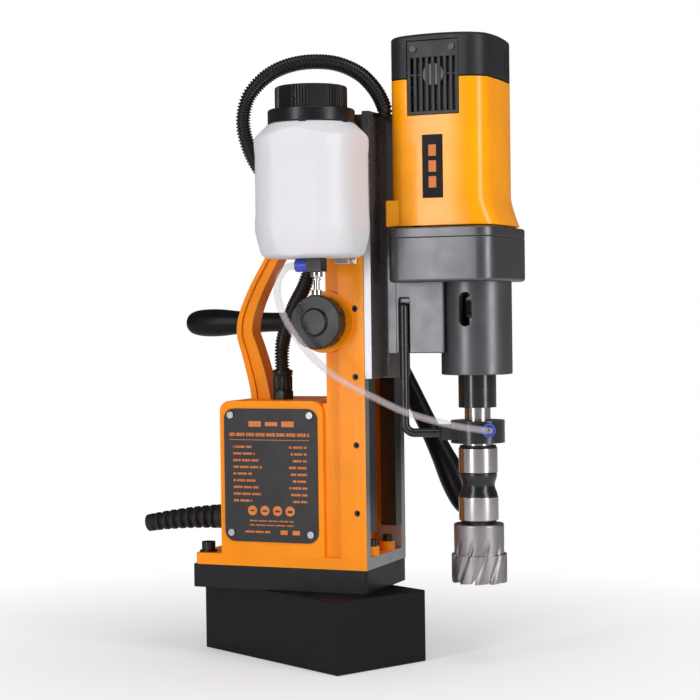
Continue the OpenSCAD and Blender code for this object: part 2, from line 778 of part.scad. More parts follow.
module motor_housing() {
    color([0.98, 0.65, 0.1]) difference() {
        union() {
            translate([0, 0, motor_low]) linear_extrude(motor_top - motor_low) motor_outline(0);
            motor_skirt();
            for (x = [-motor_w / 2, motor_w / 2 - lug_w]) translate([x, -116, motor_low])
                cube([lug_w, 15, skirt_top - motor_low - 2]);
        }
        translate([0, 0, motor_low - eps]) linear_extrude(motor_top - motor_low - 5)
            motor_outline(motor_wall);
        rod_z(motor_top - 10, motor_top + eps, arm, 11 + fit);
        for (a = [45:90:359]) rotate_about(arm, a) rod_z(motor_top - 10, motor_top + eps,
            [arm.x + 26, arm.y], 8);
        for (z = slide_screw_z(), x = [-16, 16]) if (z > motor_low) translate([x, bracket_face + eps, z])
            rotate([90, 0, 0]) cylinder(h = 9, r = 6);
        vent_opening(fit);
    }
}

module rotate_about(p, a) {
    translate([p.x, p.y, 0]) rotate([0, 0, a]) translate([-p.x, -p.y, 0]) children();
}

module stator() {
    color([0.5, 0.5, 0.52]) difference() {
        intersection() {
            rod_z(430, 488, arm, 42);
            translate([-45, arm.y - 37.9, 420]) cube([90, 75.8, 80]);
        }
        rod_z(420, 500, arm, 25);
    }
}

module motor_cap() {
    color([0.17, 0.17, 0.19]) difference() {
        intersection() {
            translate([0, 0, motor_top]) linear_extrude(cap_top - motor_top) motor_outline(0);
            translate([0, arm.y, cap_top - 300]) sphere(300, $fn = 96);
        }
        translate([0, 0, motor_top - eps]) linear_extrude(cap_top - motor_top - 11)
            motor_outline(motor_wall);
        vent_opening(fit);
        for (x = [14:6:32]) translate([x, motor_y0 - 1.2, motor_top + 4]) cube([2.4, 2.2, 24]);
    }
}

module vent_grilles() {
    color([0.12, 0.12, 0.13]) for (s = [-1, 1]) scale([s, 1, 1]) difference() {
        translate([-motor_w / 2 - 0.6, vent_y0 + 0.02, vent_z0 + 0.02])
            cube([motor_wall + 0.6, vent_y1 - vent_y0 - 0.04, vent_z1 - vent_z0 - 0.04]);
        for (i = [0:7]) translate([-motor_w / 2 - 2, vent_y0 + 3.2 + i * 5.6, vent_z0 + 5])
            cube([8, 2.6, 43]);
    }
}

module carbon_brushes() {
    color([0.1, 0.1, 0.1]) for (s = [-1, 1]) scale([s, 1, 1])
        translate([12.6, arm.y - 4, 500]) cube([15, 8, 10]);
}

module spindle_bearings() {
    color([0.7, 0.7, 0.72]) for (z = [barrel_low + 3.1, case_low - 12.4])
        ring_z(z, z + spindle_bearing_h, [0, sy], 26, spindle_r + slip);
}

module shaft_bearings() {
    color([0.7, 0.7, 0.72]) {
        ring_z(case_low - 2.9, case_low + 4, lay, 9.5, 5 + slip);
        ring_z(case_split + 0.2, case_top - 3.1, lay, 9, 5 + slip);
        ring_z(case_split + 0.2, case_top - 0.1, arm, 12, 5 + slip);
        ring_z(motor_top - 5.8, motor_top - 0.1, arm, 11, 5 + slip);
    }
}

// ---------- coolant ring ----------

module coolant_ring() {
    color([0.09, 0.09, 0.1]) difference() {
        union() {
            rod_z(ring_low, ring_top, [0, sy], 24.5);
            translate([0, sy, ring_low + 3]) rotate([0, 0, lug_turn]) translate([20, -6, 0])
                cube([15, 12, 14]);
            translate([0, sy, collet_z]) rotate([0, 0, collet_turn]) rotate([0, 90, 0])
                cylinder(h = 26, r = 7);
        }
        rod_z(ring_low - eps, ring_top + eps, [0, sy], 13.5 + slip);
        translate([0, sy, collet_z]) rotate([0, 0, collet_turn]) rotate([0, 90, 0])
            cylinder(h = 40, r = 5 + fit);
        translate([0, sy, 211]) rotate([0, 0, lug_turn]) translate([26, 0, 0]) rotate([0, 90, 0])
            cylinder(h = 30, r = rod_r + fit);
    }
}

// Bent rod that stops the coolant ring from turning: down from the gear case, then to the lug.
module ring_rod() {
    lug = [37 * cos(lug_turn), sy + 37 * sin(lug_turn)];
    run = [lug.x - rod.x, lug.y - rod.y, 0] / norm([lug.x - rod.x, lug.y - rod.y]);
    start = [rod.x, rod.y, 211];
    bend = 8;
    color([0.06, 0.06, 0.07]) cable(concat(
        [start + [0, 0, 118], start + [0, 0, bend]],
        [for (a = [22.5:22.5:67.5])
            start + bend * (1 - sin(a)) * [0, 0, 1] + bend * (1 - cos(a)) * run],
        [start + bend * run, [lug.x, lug.y, 211],
            [lug.x - 10 * cos(lug_turn), lug.y - 10 * sin(lug_turn), 211]]), rod_r, 24);
}

module ring_collet() {
    color([0.15, 0.25, 0.8]) translate([0, sy, collet_z]) rotate([0, 0, collet_turn]) rotate([0, 90, 0])
        difference() {
            union() {
                translate([0, 0, 18]) cylinder(h = 9, r = 5);
                translate([0, 0, 26.1]) cylinder(h = 5, r = 6.2);
            }
            cylinder(h = 60, r = 3.4);
            translate([0, 0, 28.4]) cylinder(h = 4, r1 = 3.4, r2 = 5.4);
        }
}

// ---------- spindle ----------

module spindle() {
    color([0.12, 0.12, 0.13]) difference() {
        union() {
            rod_z(nose_low, low_gear_z - 2, [0, sy], spindle_r);
            rod_z(low_gear_z - 2, low_gear_z + 13.5, [0, sy], 12);
        }
        translate([0, sy, nose_low]) cylinder(h = taper_top - nose_low, r1 = taper_r1, r2 = taper_r2);
        rod_z(taper_top - eps, 320, [0, sy], 6);
        along_x(-60, 60) round_rect([sy - 4.5, 314], [sy + 4.5, drift_high - 4], 4.4);
    }
}

module spindle_gear() {
    color([0.6, 0.58, 0.52]) difference() {
        translate([0, sy, low_gear_z]) rotate([0, 0, lay_turn]) gear(36, 1.25, 12);
        rod_z(low_gear_z - eps, low_gear_z + 20, [0, sy], 12 + fit);
    }
}

// Taper shank, neck through the coolant ring and the two bright bands' core.
module arbor() {
    color([0.75, 0.75, 0.77]) difference() {
        union() {
            translate([0, sy, nose_low]) cylinder(h = 78, r1 = taper_r1 - fit, r2 = taper_r2 - fit);
            rod_z(nose_low + 77, nose_low + 86, [0, sy], 5.9);
            rod_z(ring_top - eps, nose_low + 0.2, [0, sy], 11.75);
            rod_z(196.9, ring_top, [0, sy], 13.5);
            rod_z(band_low, 196.9, [0, sy], 17.5);
            rod_z(132, band_low + eps, [0, sy], 12);
        }
        rod_z(130, 149, [0, sy], 9.6);
        ring_z(band_low - eps, band_low + 5, [0, sy], 17.05, 12);
    }
}

// Quick-release sleeve: a waisted upper half that slides up into the arbor's band.
module arbor_sleeve() {
    color([0.1, 0.1, 0.11]) difference() {
        union() {
            rod_z(169.9, band_low - 0.1, [0, sy], 16.9);
            translate([0, sy, 163]) cylinder(h = 7, r1 = 14.8, r2 = 16.9);
            translate([0, sy, 156]) cylinder(h = 7, r1 = 17.2, r2 = 14.8);
            rod_z(130.9, 156, [0, sy], 18);
        }
        rod_z(120, 180, [0, sy], 12 + slip);
    }
}

module annular_cutter() {
    color([0.62, 0.56, 0.58]) difference() {
        union() {
            rod_z(127, 149, [0, sy], 9.5);
            rod_z(100.3, 127.8, [0, sy], 22.75);
            rod_z(cutter_low + 4, 100.3, [0, sy], cutter_d / 2);
            for (a = [0:36:359]) translate([0, sy, cutter_low]) rotate([0, 0, a])
                translate([cutter_d / 2 - 4.6, -4.6, 0]) cube([4, 9.2, 5]);
        }
        rod_z(cutter_low - eps, 118, [0, sy], cutter_d / 2 - 4.5);
        rod_z(100, 160, [0, sy], 3.2);
    }
}

module layshaft() {
    color([0.6, 0.6, 0.62]) {
        rod_z(case_low - 2.5, low_gear_z + 0.5, lay, 5);
        translate([lay.x, lay.y, low_gear_z - 0.5]) rotate([0, 0, lay_turn + 180 + 15])
            gear(12, 1.25, 13.5);
        rod_z(low_gear_z + 12, case_top - 3.6, lay, 5);
    }
}

module layshaft_gear() {
    color([0.6, 0.58, 0.52]) difference() {
        translate([lay.x, lay.y, high_gear_z]) rotate([0, 0, arm_turn]) gear(36, 1, 9);
        rod_z(high_gear_z - eps, high_gear_z + 20, lay, 5 + fit);
    }
}

module armature_shaft() {
    color([0.65, 0.65, 0.67]) {
        translate([arm.x, arm.y, high_gear_z - 0.5]) rotate([0, 0, arm_turn + 180 + 18])
            gear(10, 1, 10);
        rod_z(high_gear_z + 9, motor_top + 4, arm, 5);
        rod_z(498, 514, arm, 12);
    }
}

module armature_core() {
    color([0.45, 0.42, 0.4]) ring_z(432, 486, arm, 24.3, 5 + fit);
}

module cooling_fan() {
    color([0.15, 0.15, 0.16]) {
        ring_z(404, 407, arm, 36, 5 + fit);
        ring_z(407, 420, arm, 9, 5 + fit);
        for (a = [0:30:359]) rotate_about(arm, a) translate([arm.x + 14, arm.y - 0.8, 406.5])
            cube([20, 1.6, 13]);
    }
}

// ---------- feed ----------

module pinion_shaft() {
    color([0.65, 0.65, 0.67]) {
        rod_x(-72, -pinion_w, -feed_y, feed_z, feed_r);
        translate([-pinion_w, -feed_y, feed_z]) rotate([0, 90, 0]) gear(16, rack_m, 2 * pinion_w);
        rod_x(pinion_w, hub_x0 + 30, -feed_y, feed_z, feed_r);
    }
}

module feed_knob() {
    color([0.1, 0.1, 0.11]) difference() {
        union() {
            rod_x(-72.5, -58, -feed_y, feed_z, 24.5);
            rod_x(-76, -72, -feed_y, feed_z, 12);
            rod_x(-59, -boss_x - 0.5, -feed_y, feed_z, 15);
        }
        for (a = [0:36:359]) translate([-80, -feed_y, feed_z]) rotate([a, 0, 0])
            translate([0, 29, 0]) rotate([0, 90, 0]) cylinder(h = 30, r = 5.2);
        rod_x(-72.02, 0, -feed_y, feed_z, feed_r + fit);
    }
}

module feed_hub() {
    color([0.12, 0.12, 0.13]) difference() {
        union() {
            rod_x(hub_x0, grip_x + 12, -feed_y, feed_z, 16);
            rod_x(grip_x - 10, grip_x + 10, -feed_y, feed_z, 23);
        }
        rod_x(0, hub_x0 + 30 + fit, -feed_y, feed_z, feed_r + fit);
        for (a = feed_angle) feed_dir(a) translate([0, 0, 12]) cylinder(h = 40, r = 6 + fit);
    }
}

// Places +Z geometry along a feed arm, at angle a from the arm that points to +Y.
module feed_dir(a) {
    translate([grip_x, -feed_y, feed_z]) rotate([a, 0, 0]) rotate([-90, 0, 0]) children();
}

module feed_arms() {
    color([0.7, 0.7, 0.72]) for (a = feed_angle) feed_dir(a)
        translate([0, 0, 12.2]) cylinder(h = 160, r = 6);
}

module feed_grips() {
    color([0.06, 0.06, 0.07]) for (a = feed_angle) feed_dir(a) difference() {
        rotate_extrude() polygon([[0, grip_r0 - 14], [8.5, grip_r0 - 14], [9.3, 118], [11.6, 151],
            [13.9, 170], [13.6, 188], [11.8, 198], [7.5, grip_r1], [0, grip_r1]]);
        cylinder(h = 172.5, r = 6 + fit);
    }
}

magnet_core();
magnet_coil();
coil_potting();
pivot_bolt();
swivel_plate();
column_casting();
foot_bolts();
label_plate();
panel_screws();
control_panel();
circuit_board();
gibs();
gib_screws();
pinion_bushes();
conduit_gland();
cord_boot();
bottle_bracket();
coolant_bottle();
bottle_cap();
coolant_tap();
tap_collet();
needle_valve();
coolant_hose();
cable_conduit();
start_button();
stop_button();
magnet_switch();
speed_dial();
slide();
rack();
slide_screws();
motor_bracket();
gear_case();
gear_cover();
housing_screws();
motor_housing();
stator();
motor_cap();
vent_grilles();
carbon_brushes();
spindle_bearings();
shaft_bearings();
coolant_ring();
ring_rod();
ring_collet();
spindle();
spindle_gear();
arbor();
arbor_sleeve();
annular_cutter();
layshaft();
layshaft_gear();
armature_shaft();
armature_core();
cooling_fan();
pinion_shaft();
feed_knob();
feed_hub();
feed_arms();
feed_grips();
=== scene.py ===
"""Magnetic drill press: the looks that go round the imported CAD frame.

Lengths are in metres in the row frame; mm(x) turns millimetres into metres.
"""

import json
import math

import bmesh
import bpy
from mathutils import Matrix, Vector


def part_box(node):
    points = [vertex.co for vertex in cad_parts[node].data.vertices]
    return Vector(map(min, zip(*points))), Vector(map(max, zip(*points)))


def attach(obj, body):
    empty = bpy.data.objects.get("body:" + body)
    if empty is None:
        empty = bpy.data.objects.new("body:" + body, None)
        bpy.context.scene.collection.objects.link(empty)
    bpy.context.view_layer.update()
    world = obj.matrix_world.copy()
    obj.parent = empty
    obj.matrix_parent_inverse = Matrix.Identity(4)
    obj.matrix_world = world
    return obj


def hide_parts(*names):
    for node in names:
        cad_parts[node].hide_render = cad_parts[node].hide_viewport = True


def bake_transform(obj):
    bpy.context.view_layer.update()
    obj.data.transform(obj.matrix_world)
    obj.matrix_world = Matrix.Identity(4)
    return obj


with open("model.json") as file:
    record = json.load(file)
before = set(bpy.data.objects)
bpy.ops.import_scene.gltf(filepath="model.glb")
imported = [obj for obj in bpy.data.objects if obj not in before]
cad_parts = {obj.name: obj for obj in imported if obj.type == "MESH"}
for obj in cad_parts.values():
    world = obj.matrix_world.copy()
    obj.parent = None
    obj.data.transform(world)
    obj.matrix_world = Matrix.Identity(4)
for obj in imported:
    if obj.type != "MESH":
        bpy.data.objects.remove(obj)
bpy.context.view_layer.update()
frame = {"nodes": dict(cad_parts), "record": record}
BODY_OF = {n: b for b, names in frame["record"]["behaviour"]["bodies"].items() for n in names}
SLOT_OF = {s["node"]: s["material_slot"] for s in frame["record"]["subparts"]}


def mm(x):
    return x * 0.001


def vmm(x, y, z):
    return Vector((mm(x), mm(y), mm(z)))


def points_mm(*points):
    return [vmm(*p) for p in points]


# ---------------------------------------------------------------- materials


class Shader:
    """A principled material with object-space noise to drive its colour, roughness and bump."""

    def __init__(self, name):
        self.mat = bpy.data.materials.new(name)
        self.mat.use_nodes = True
        self.nodes = self.mat.node_tree.nodes
        self.links = self.mat.node_tree.links
        self.bsdf = self.nodes["Principled BSDF"]
        self.coords = self.nodes.new("ShaderNodeTexCoord")

    def set(self, **values):
        for key, value in values.items():
            self.bsdf.inputs[key.replace("_", " ")].default_value = value
        return self

    def noise(self, scale, detail=3.0, stretch=(1, 1, 1)):
        mapping = self.nodes.new("ShaderNodeMapping")
        mapping.inputs["Scale"].default_value = stretch
        self.links.new(self.coords.outputs["Object"], mapping.inputs["Vector"])
        node = self.nodes.new("ShaderNodeTexNoise")
        node.inputs["Scale"].default_value = scale
        node.inputs["Detail"].default_value = detail
        self.links.new(mapping.outputs["Vector"], node.inputs["Vector"])
        return node.outputs["Fac"]

    def ramp(self, source, low, high, start=0.35, end=0.65):
        node = self.nodes.new("ShaderNodeMapRange")
        node.inputs["From Min"].default_value = start
        node.inputs["From Max"].default_value = end
        node.inputs["To Min"].default_value = low
        node.inputs["To Max"].default_value = high
        self.links.new(source, node.inputs["Value"])
        return node.outputs["Result"]

    def mix(self, factor, a, b):
        node = self.nodes.new("ShaderNodeMix")
        node.data_type = "RGBA"
        self.links.new(factor, node.inputs[0])
        for value, socket in ((a, node.inputs[6]), (b, node.inputs[7])):
            if isinstance(value, tuple):
                socket.default_value = value
            else:
                self.links.new(value, socket)
        return node.outputs[2]

    def colour(self, base, vary=0.08, scale=25.0):
        """Base colour with soft, large-scale variation."""
        dark = tuple(c * (1 - vary) for c in base) + (1.0,)
        light = tuple(min(1.0, c * (1 + vary)) for c in base) + (1.0,)
        out = self.mix(self.ramp(self.noise(scale), 0.0, 1.0), dark, light)
        self.links.new(out, self.bsdf.inputs["Base Color"])
        self.base = out
        return self

    def worn(self, tint, amount=0.6, start=0.53, end=0.6):
        """Lighter, rubbed colour along convex edges."""
        point = self.nodes.new("ShaderNodeNewGeometry").outputs["Pointiness"]
        edge = self.ramp(point, 0.0, amount, start, end)
        speck = self.ramp(self.noise(700.0, 4.0), 0.0, 1.0, 0.42, 0.6)
        out = self.mix(self.times(edge, speck), self.base, tuple(tint) + (1.0,))
        self.links.new(out, self.bsdf.inputs["Base Color"])
        self.base = out
        return self

    def times(self, a, b):
        node = self.nodes.new("ShaderNodeMath")
        node.operation = "MULTIPLY"
        self.links.new(a, node.inputs[0])
        self.links.new(b, node.inputs[1])
        return node.outputs[0]

    def surface(self, factor, a, b):
        """The surface goes from shader a to shader b with factor."""
        node = self.nodes.new("ShaderNodeMixShader")
        for k, socket in enumerate((factor, a, b)):
            self.links.new(socket, node.inputs[k])
        self.links.new(node.outputs[0], self.nodes["Material Output"].inputs["Surface"])
        return self

    def rough(self, low, high, scale=60.0, stretch=(1, 1, 1)):
        out = self.ramp(self.noise(scale, 4.0, stretch), low, high, 0.3, 0.7)
        self.links.new(out, self.bsdf.inputs["Roughness"])
        return self

    def bump(self, scale, strength, depth=0.0001, stretch=(1, 1, 1), detail=3.0):
        node = self.nodes.new("ShaderNodeBump")
        node.inputs["Strength"].default_value = strength
        node.inputs["Distance"].default_value = depth
        self.links.new(self.noise(scale, detail, stretch), node.inputs["Height"])
        self.links.new(node.outputs["Normal"], self.bsdf.inputs["Normal"])
        return self


WHITE = (1, 1, 1, 1)
TURNED = (0.0, 0.0, 1.0)
BRUSHED_Z = (1.0, 1.0, 0.02)


def painted(name, base, rough, orange_peel=0.05, coat=0.3, wear=None, specular=0.4):
    s = Shader(name).colour(base, 0.05)
    if wear:
        s.worn(wear)
    s.rough(rough - 0.04, rough + 0.05)
    s.bump(420.0, orange_peel, 0.0001, detail=2.0)
    return s.set(Coat_Weight=coat, Coat_Roughness=0.12, Specular_IOR_Level=specular).mat


def metallic_paint(name, base, rough, metal):
    s = Shader(name).colour(base, 0.04).rough(rough - 0.03, rough + 0.05)
    s.bump(420.0, 0.006, 0.0001, detail=2.0)
    return s.set(Metallic=metal, Coat_Weight=0.15, Coat_Roughness=0.3).mat


def plastic(name, base, rough, grain=0.15, scale=2600.0, specular=0.35):
    s = Shader(name).colour(base, 0.08).rough(rough - 0.05, rough + 0.06)
    return s.set(Specular_IOR_Level=specular).bump(scale, grain, 0.00005).mat


def steel(name, base, rough, stretch=(1, 1, 1), scale=900.0, strength=0.15, tint=0.06):
    s = Shader(name).colour(base, tint, 40.0).rough(rough - 0.05, rough + 0.08, scale, stretch)
    return s.set(Metallic=1.0).bump(scale, strength, 0.00004, stretch).mat


def painted_sheen_steel(name, bright, dark, start, end):
    """Ground steel with a painted reflection: bright up to the height start and dark from the height end."""
    s = Shader(name).rough(0.32, 0.42, 900.0, BRUSHED_Z)
    height = s.nodes.new("ShaderNodeSeparateXYZ")
    s.links.new(s.coords.outputs["Object"], height.inputs[0])
    fade = s.ramp(height.outputs["Z"], 0.0, 1.0, start, end)
    s.links.new(s.mix(fade, bright + (1.0,), dark + (1.0,)), s.bsdf.inputs["Base Color"])
    return s.set(Metallic=0.3).bump(900.0, 0.12, 0.00004, BRUSHED_Z).mat


def bottle_plastic(name):
    s = Shader(name).colour((0.635, 0.635, 0.665), 0.012, 14.0).rough(0.40, 0.5)
    s.set(Subsurface_Weight=0.5, Subsurface_Scale=0.010, Coat_Weight=0.06, Coat_Roughness=0.3)
    return s.bump(500.0, 0.12, 0.0002, detail=1.5).mat


def clear_hose(name):
    """Clear vinyl: mostly see-through, milky where seen edge-on."""
    s = Shader(name).colour((0.66, 0.60, 0.62), 0.04).rough(0.05, 0.12)
    s.bump(300.0, 0.1, 0.0001)
    facing = s.nodes.new("ShaderNodeLayerWeight")
    facing.inputs["Blend"].default_value = 0.35
    milky = s.ramp(facing.outputs["Facing"], 0.16, 0.85, 0.40, 0.98)
    clear = s.nodes.new("ShaderNodeBsdfTransparent")
    return s.surface(milky, clear.outputs[0], s.bsdf.outputs[0]).mat


FINISHES = {
    "magnet_black": (painted, (0.005, 0.005, 0.006), 0.42, 0.03, 0.0, (0.02, 0.02, 0.02), 0.16),
    "plate_charcoal": (painted, (0.009, 0.009, 0.011), 0.4, 0.04, 0.0, (0.04, 0.04, 0.04), 0.2),
    "orange_paint": (painted, (0.86, 0.25, 0.002), 0.33, 0.02, 0.08, (0.95, 0.36, 0.02), 0.12),
    "label_charcoal": (plastic, (0.018, 0.016, 0.018), 0.42, 0.1),
    "motor_orange": (painted, (0.95, 0.335, 0.001), 0.24, 0.01, 0.35, None, 0.18),
    "case_grey": (metallic_paint, (0.118, 0.118, 0.127), 0.36, 0.8),
    "seat_grey": (metallic_paint, (0.42, 0.42, 0.44), 0.35, 0.3),
    "brush_grey": (plastic, (0.10, 0.10, 0.11), 0.4, 0.1),
    "cap_charcoal": (plastic, (0.018, 0.018, 0.021), 0.42, 0.15, 1800.0, 0.28),
    "grille_black": (plastic, (0.012, 0.012, 0.014), 0.42, 0.3),
    "badge_black": (plastic, (0.003, 0.003, 0.004), 0.4, 0.05, 2600.0, 0.12),
    "black_plastic": (plastic, (0.008, 0.008, 0.009), 0.30, 0.2),
    "black_rubber": (plastic, (0.010, 0.010, 0.011), 0.5, 0.4, 1400.0),
    "grip_rubber": (plastic, (0.005, 0.0045, 0.006), 0.34, 0.15, 1600.0, 0.16),
    "black_oxide": (steel, (0.045, 0.045, 0.048), 0.34),
    "ring_black": (painted, (0.012, 0.012, 0.013), 0.28, 0.05, 0.4),
    "rod_black": (painted, (0.012, 0.012, 0.013), 0.25, 0.05, 0.4),
    "spindle_black": (painted, (0.010, 0.010, 0.011), 0.24, 0.03, 0.5),
    "sleeve_black": (painted, (0.008, 0.008, 0.009), 0.30, 0.05, 0.3),
    "arbor_chrome": (steel, (0.46, 0.43, 0.43), 0.22, TURNED, 3000.0, 0.02, 0.03),
    "cutter_steel": (steel, (0.35, 0.325, 0.345), 0.42, TURNED, 1600.0, 0.08, 0.10),
    "slide_steel": (painted, (0.060, 0.048, 0.048), 0.28, 0.01, 0.5, (0.10, 0.09, 0.09)),
    # The slide's side faces: a painted reflection, bright low down and dark higher up.
    "slide_edge": (painted_sheen_steel, (0.56, 0.56, 0.60), (0.09, 0.085, 0.085), 0.36, 0.47),
    "gib_steel": (steel, (0.07, 0.075, 0.075), 0.38, BRUSHED_Z, 900.0),
    "machined_steel": (steel, (0.40, 0.40, 0.42), 0.36, BRUSHED_Z, 900.0, 0.06),
    "lamination_steel": (steel, (0.22, 0.21, 0.20), 0.45, TURNED, 1500.0, 0.4),
    "bright_screw": (steel, (0.34, 0.34, 0.36), 0.3),
    "nickel": (steel, (0.72, 0.69, 0.63), 0.18),
    "bracket_zinc": (steel, (0.70, 0.66, 0.60), 0.35),
    "bronze": (steel, (0.62, 0.42, 0.18), 0.3),
    "copper_wire": (steel, (0.72, 0.34, 0.16), 0.35, TURNED, 2500.0, 0.5),
    "potting_resin": (plastic, (0.03, 0.03, 0.034), 0.2),
    "board_green": (plastic, (0.02, 0.15, 0.06), 0.3),
    "carbon": (plastic, (0.02, 0.02, 0.02), 0.6),
    "blue_plastic": (plastic, (0.045, 0.075, 0.48), 0.22, 0.05),
    "green_plastic": (plastic, (0.03, 0.36, 0.07), 0.25, 0.05),
    "red_plastic": (plastic, (0.58, 0.02, 0.015), 0.25, 0.05),
    "print_orange": (plastic, (0.62, 0.17, 0.035), 0.5, 0.1),
    "bottle_plastic": (bottle_plastic,),
    "clear_hose": (clear_hose,),
}
MATERIALS = {name: maker(name, *values) for name, (maker, *values) in FINISHES.items()}

# ---------------------------------------------------------------- mesh tools


def new_object(name, bm, material, smooth=True):
    mesh = bpy.data.meshes.new(name)
    bmesh.ops.recalc_face_normals(bm, faces=bm.faces)
    bm.to_mesh(mesh)
    bm.free()
    for poly in mesh.polygons:
        poly.use_smooth = smooth
    mesh.materials.append(MATERIALS[material])
    obj = bpy.data.objects.new(name, mesh)
    bpy.context.scene.collection.objects.link(obj)
    obj["look"] = material
    return obj


def place(obj, node):
    """obj stands for one CAD node: same body, CAD solid hidden."""
    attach(obj, BODY_OF[node])
    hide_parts(node)
    return obj


def join_body(obj, body):
    """obj is an extra visible detail on a body."""
    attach(obj, body)
    return obj


def soften(obj, width, segments=2, angle=32.0):
    """Rounded edges with flat-looking faces between them."""
    bevel = obj.modifiers.new("edges", "BEVEL")
    bevel.width = width
    bevel.segments = segments
    bevel.limit_method = "ANGLE"
    bevel.angle_limit = math.radians(angle)
    bevel.miter_outer = "MITER_ARC"
    weighted = obj.modifiers.new("normals", "WEIGHTED_NORMAL")
    weighted.keep_sharp = True
    weighted.weight = 80
    return obj


def skin(node, width, segments=2, angle=32.0, slot=None):
    """A CAD node's shape, cleaned of triangulation, with rounded edges."""
    bm = bmesh.new()
    bm.from_mesh(frame["nodes"][node].data)
    bmesh.ops.remove_doubles(bm, verts=bm.verts, dist=2e-6)
    bmesh.ops.dissolve_limit(
        bm, angle_limit=math.radians(0.6), verts=bm.verts, edges=bm.edges, delimit={"NORMAL"}
    )
    obj = new_object(node + "_shell", bm, slot or SLOT_OF[node])
    soften(obj, width, segments, angle)
    return place(obj, node)


def apply_modifiers(obj):
    """Bakes obj's modifiers into its mesh."""
    graph = bpy.context.evaluated_depsgraph_get()
    baked = bpy.data.meshes.new_from_object(obj.evaluated_get(graph))
    obj.modifiers.clear()
    obj.data = baked
    return obj


def loft(bm, rings, cap_start=True, cap_end=True, closed=False):
    """Joins rings of points, all of one length, into a skin."""
    made = [[bm.verts.new(p) for p in ring] for ring in rings]
    pairs = list(zip(made, made[1:])) + ([(made[-1], made[0])] if closed else [])
    for a, b in pairs:
        count = len(a)
        for k in range(count):
            n = (k + 1) % count
            bm.faces.new((a[k], a[n], b[n], b[k]))
    if cap_start and not closed:
        bm.faces.new(list(reversed(made[0])))
    if cap_end and not closed:
        bm.faces.new(made[-1])
    return made


def round_outline(x0, x1, y0, y1, radius, per_corner=8, per_side=6):
    """A rounded rectangle's points."""
    corners = (
        (x1 - radius, y1 - radius, 0.0),
        (x0 + radius, y1 - radius, 90.0),
        (x0 + radius, y0 + radius, 180.0),
        (x1 - radius, y0 + radius, 270.0),
    )
    points = []
    for cx, cy, start in corners:
        for i in range(per_corner + 1):
            a = math.radians(start + 90.0 * i / per_corner)
            points.append(Vector((cx + radius * math.cos(a), cy + radius * math.sin(a))))
    out = []
    for i, p in enumerate(points):
        out.append(p)
        if i % (per_corner + 1) == per_corner:
            q = points[(i + 1) % len(points)]
            out += [p.lerp(q, k / per_side) for k in range(1, per_side)]
    return out


def at_height(outline, z):
    return [Vector((p.x, p.y, z)) for p in outline]


def circle(radius, height, sides, wave=None):
    """Points round the Z axis; wave(angle, radius, height) may change the radius."""
    ring = []
    for k in range(sides):
        a = 2 * math.pi * k / sides
        r = wave(a, radius, height) if wave else radius
        ring.append(Vector((r * math.cos(a), r * math.sin(a), height)))
    return ring


def lathe(name, profile, material, base=(0, 0, 0), sides=96, wave=None, closed=False):
    """A turned solid from (radius, height) pairs in metres; a closed profile makes a ring."""
    bm = bmesh.new()
    foot = Vector(base)
    rings = [[p + foot for p in circle(radius, height, sides, wave)] for radius, height in profile]
    loft(bm, rings, closed=closed)
    return new_object(name, bm, material)


def profile_mm(*pairs):
    return [(mm(radius), mm(height)) for radius, height in pairs]


def rounded_profile(points, radius, steps=3):
    """Rounds the inner corners of a (radius, height) profile."""
    out = [points[0]]
    for a, b, c in zip(points, points[1:], points[2:]):
        a, b, c = Vector(a), Vector(b), Vector(c)
        cut = min(radius, (a - b).length * 0.45, (c - b).length * 0.45)
        p, q = b + (a - b).normalized() * cut, b + (c - b).normalized() * cut
        for i in range(steps + 1):
            t = i / steps
            out.append(tuple((1 - t) ** 2 * p + 2 * t * (1 - t) * b + t * t * q))
    return out + [points[-1]]


def smooth_path(points, steps=10):
    """Catmull-Rom curve through the points."""
    pts = [Vector(p) for p in points]
    pts = [pts[0] * 2 - pts[1]] + pts + [pts[-1] * 2 - pts[-2]]
    out = []
    for p0, p1, p2, p3 in zip(pts, pts[1:], pts[2:], pts[3:]):
        for i in range(steps):
            t = i / steps
            square, cube = 2 * p0 - 5 * p1 + 4 * p2 - p3, 3 * p1 - p0 - 3 * p2 + p3
            out.append(0.5 * (2 * p1 + (p2 - p0) * t + square * t * t + cube * t * t * t))
    return out + [pts[-2]]


def even_path(points, spacing):
    """Points at equal distances along a polyline."""
    total = sum((b - a).length for a, b in zip(points, points[1:]))
    count = max(2, round(total / spacing))
    out, travelled, target = [points[0]], 0.0, total / count
    for a, b in zip(points, points[1:]):
        step = (b - a).length
        while travelled + step >= target - 1e-9 and len(out) < count:
            out.append(a.lerp(b, (target - travelled) / step))
            target += total / count
        travelled += step
    return out + [points[-1]]


def sweep_rings(points, radius, sides):
    """Circles along a path, carried without twist. radius(i, count) gives each one's radius."""
    count = len(points)
    rings, side = [], None
    for i, p in enumerate(points):
        d = (points[min(i + 1, count - 1)] - points[max(i - 1, 0)]).normalized()
        side = d.orthogonal() if side is None else side - d * side.dot(d)
        side.normalize()
        up = d.cross(side)
        rings.append([p + side * c.x + up * c.y for c in circle(radius(i, count), 0.0, sides)])
    return rings


def sweep(name, points, radius, material, sides=24):
    bm = bmesh.new()
    loft(bm, sweep_rings(points, radius, sides))
    return new_object(name, bm, material)


def box_into(bm, low, high):
    """Adds a closed box to bm."""
    made = bmesh.ops.create_cube(bm, size=1.0)["verts"]
    size = Vector(high) - Vector(low)
    middle = (Vector(high) + Vector(low)) / 2
    for v in made:
        v.co = Vector((v.co.x * size.x, v.co.y * size.y, v.co.z * size.z)) + middle


def disc_into(bm, radius, depth, turn, segments):
    """Adds a closed cylinder to bm, along the Z axis of turn."""
    bmesh.ops.create_cone(
        bm, cap_ends=True, segments=segments, radius1=radius, radius2=radius, depth=depth, matrix=turn
    )


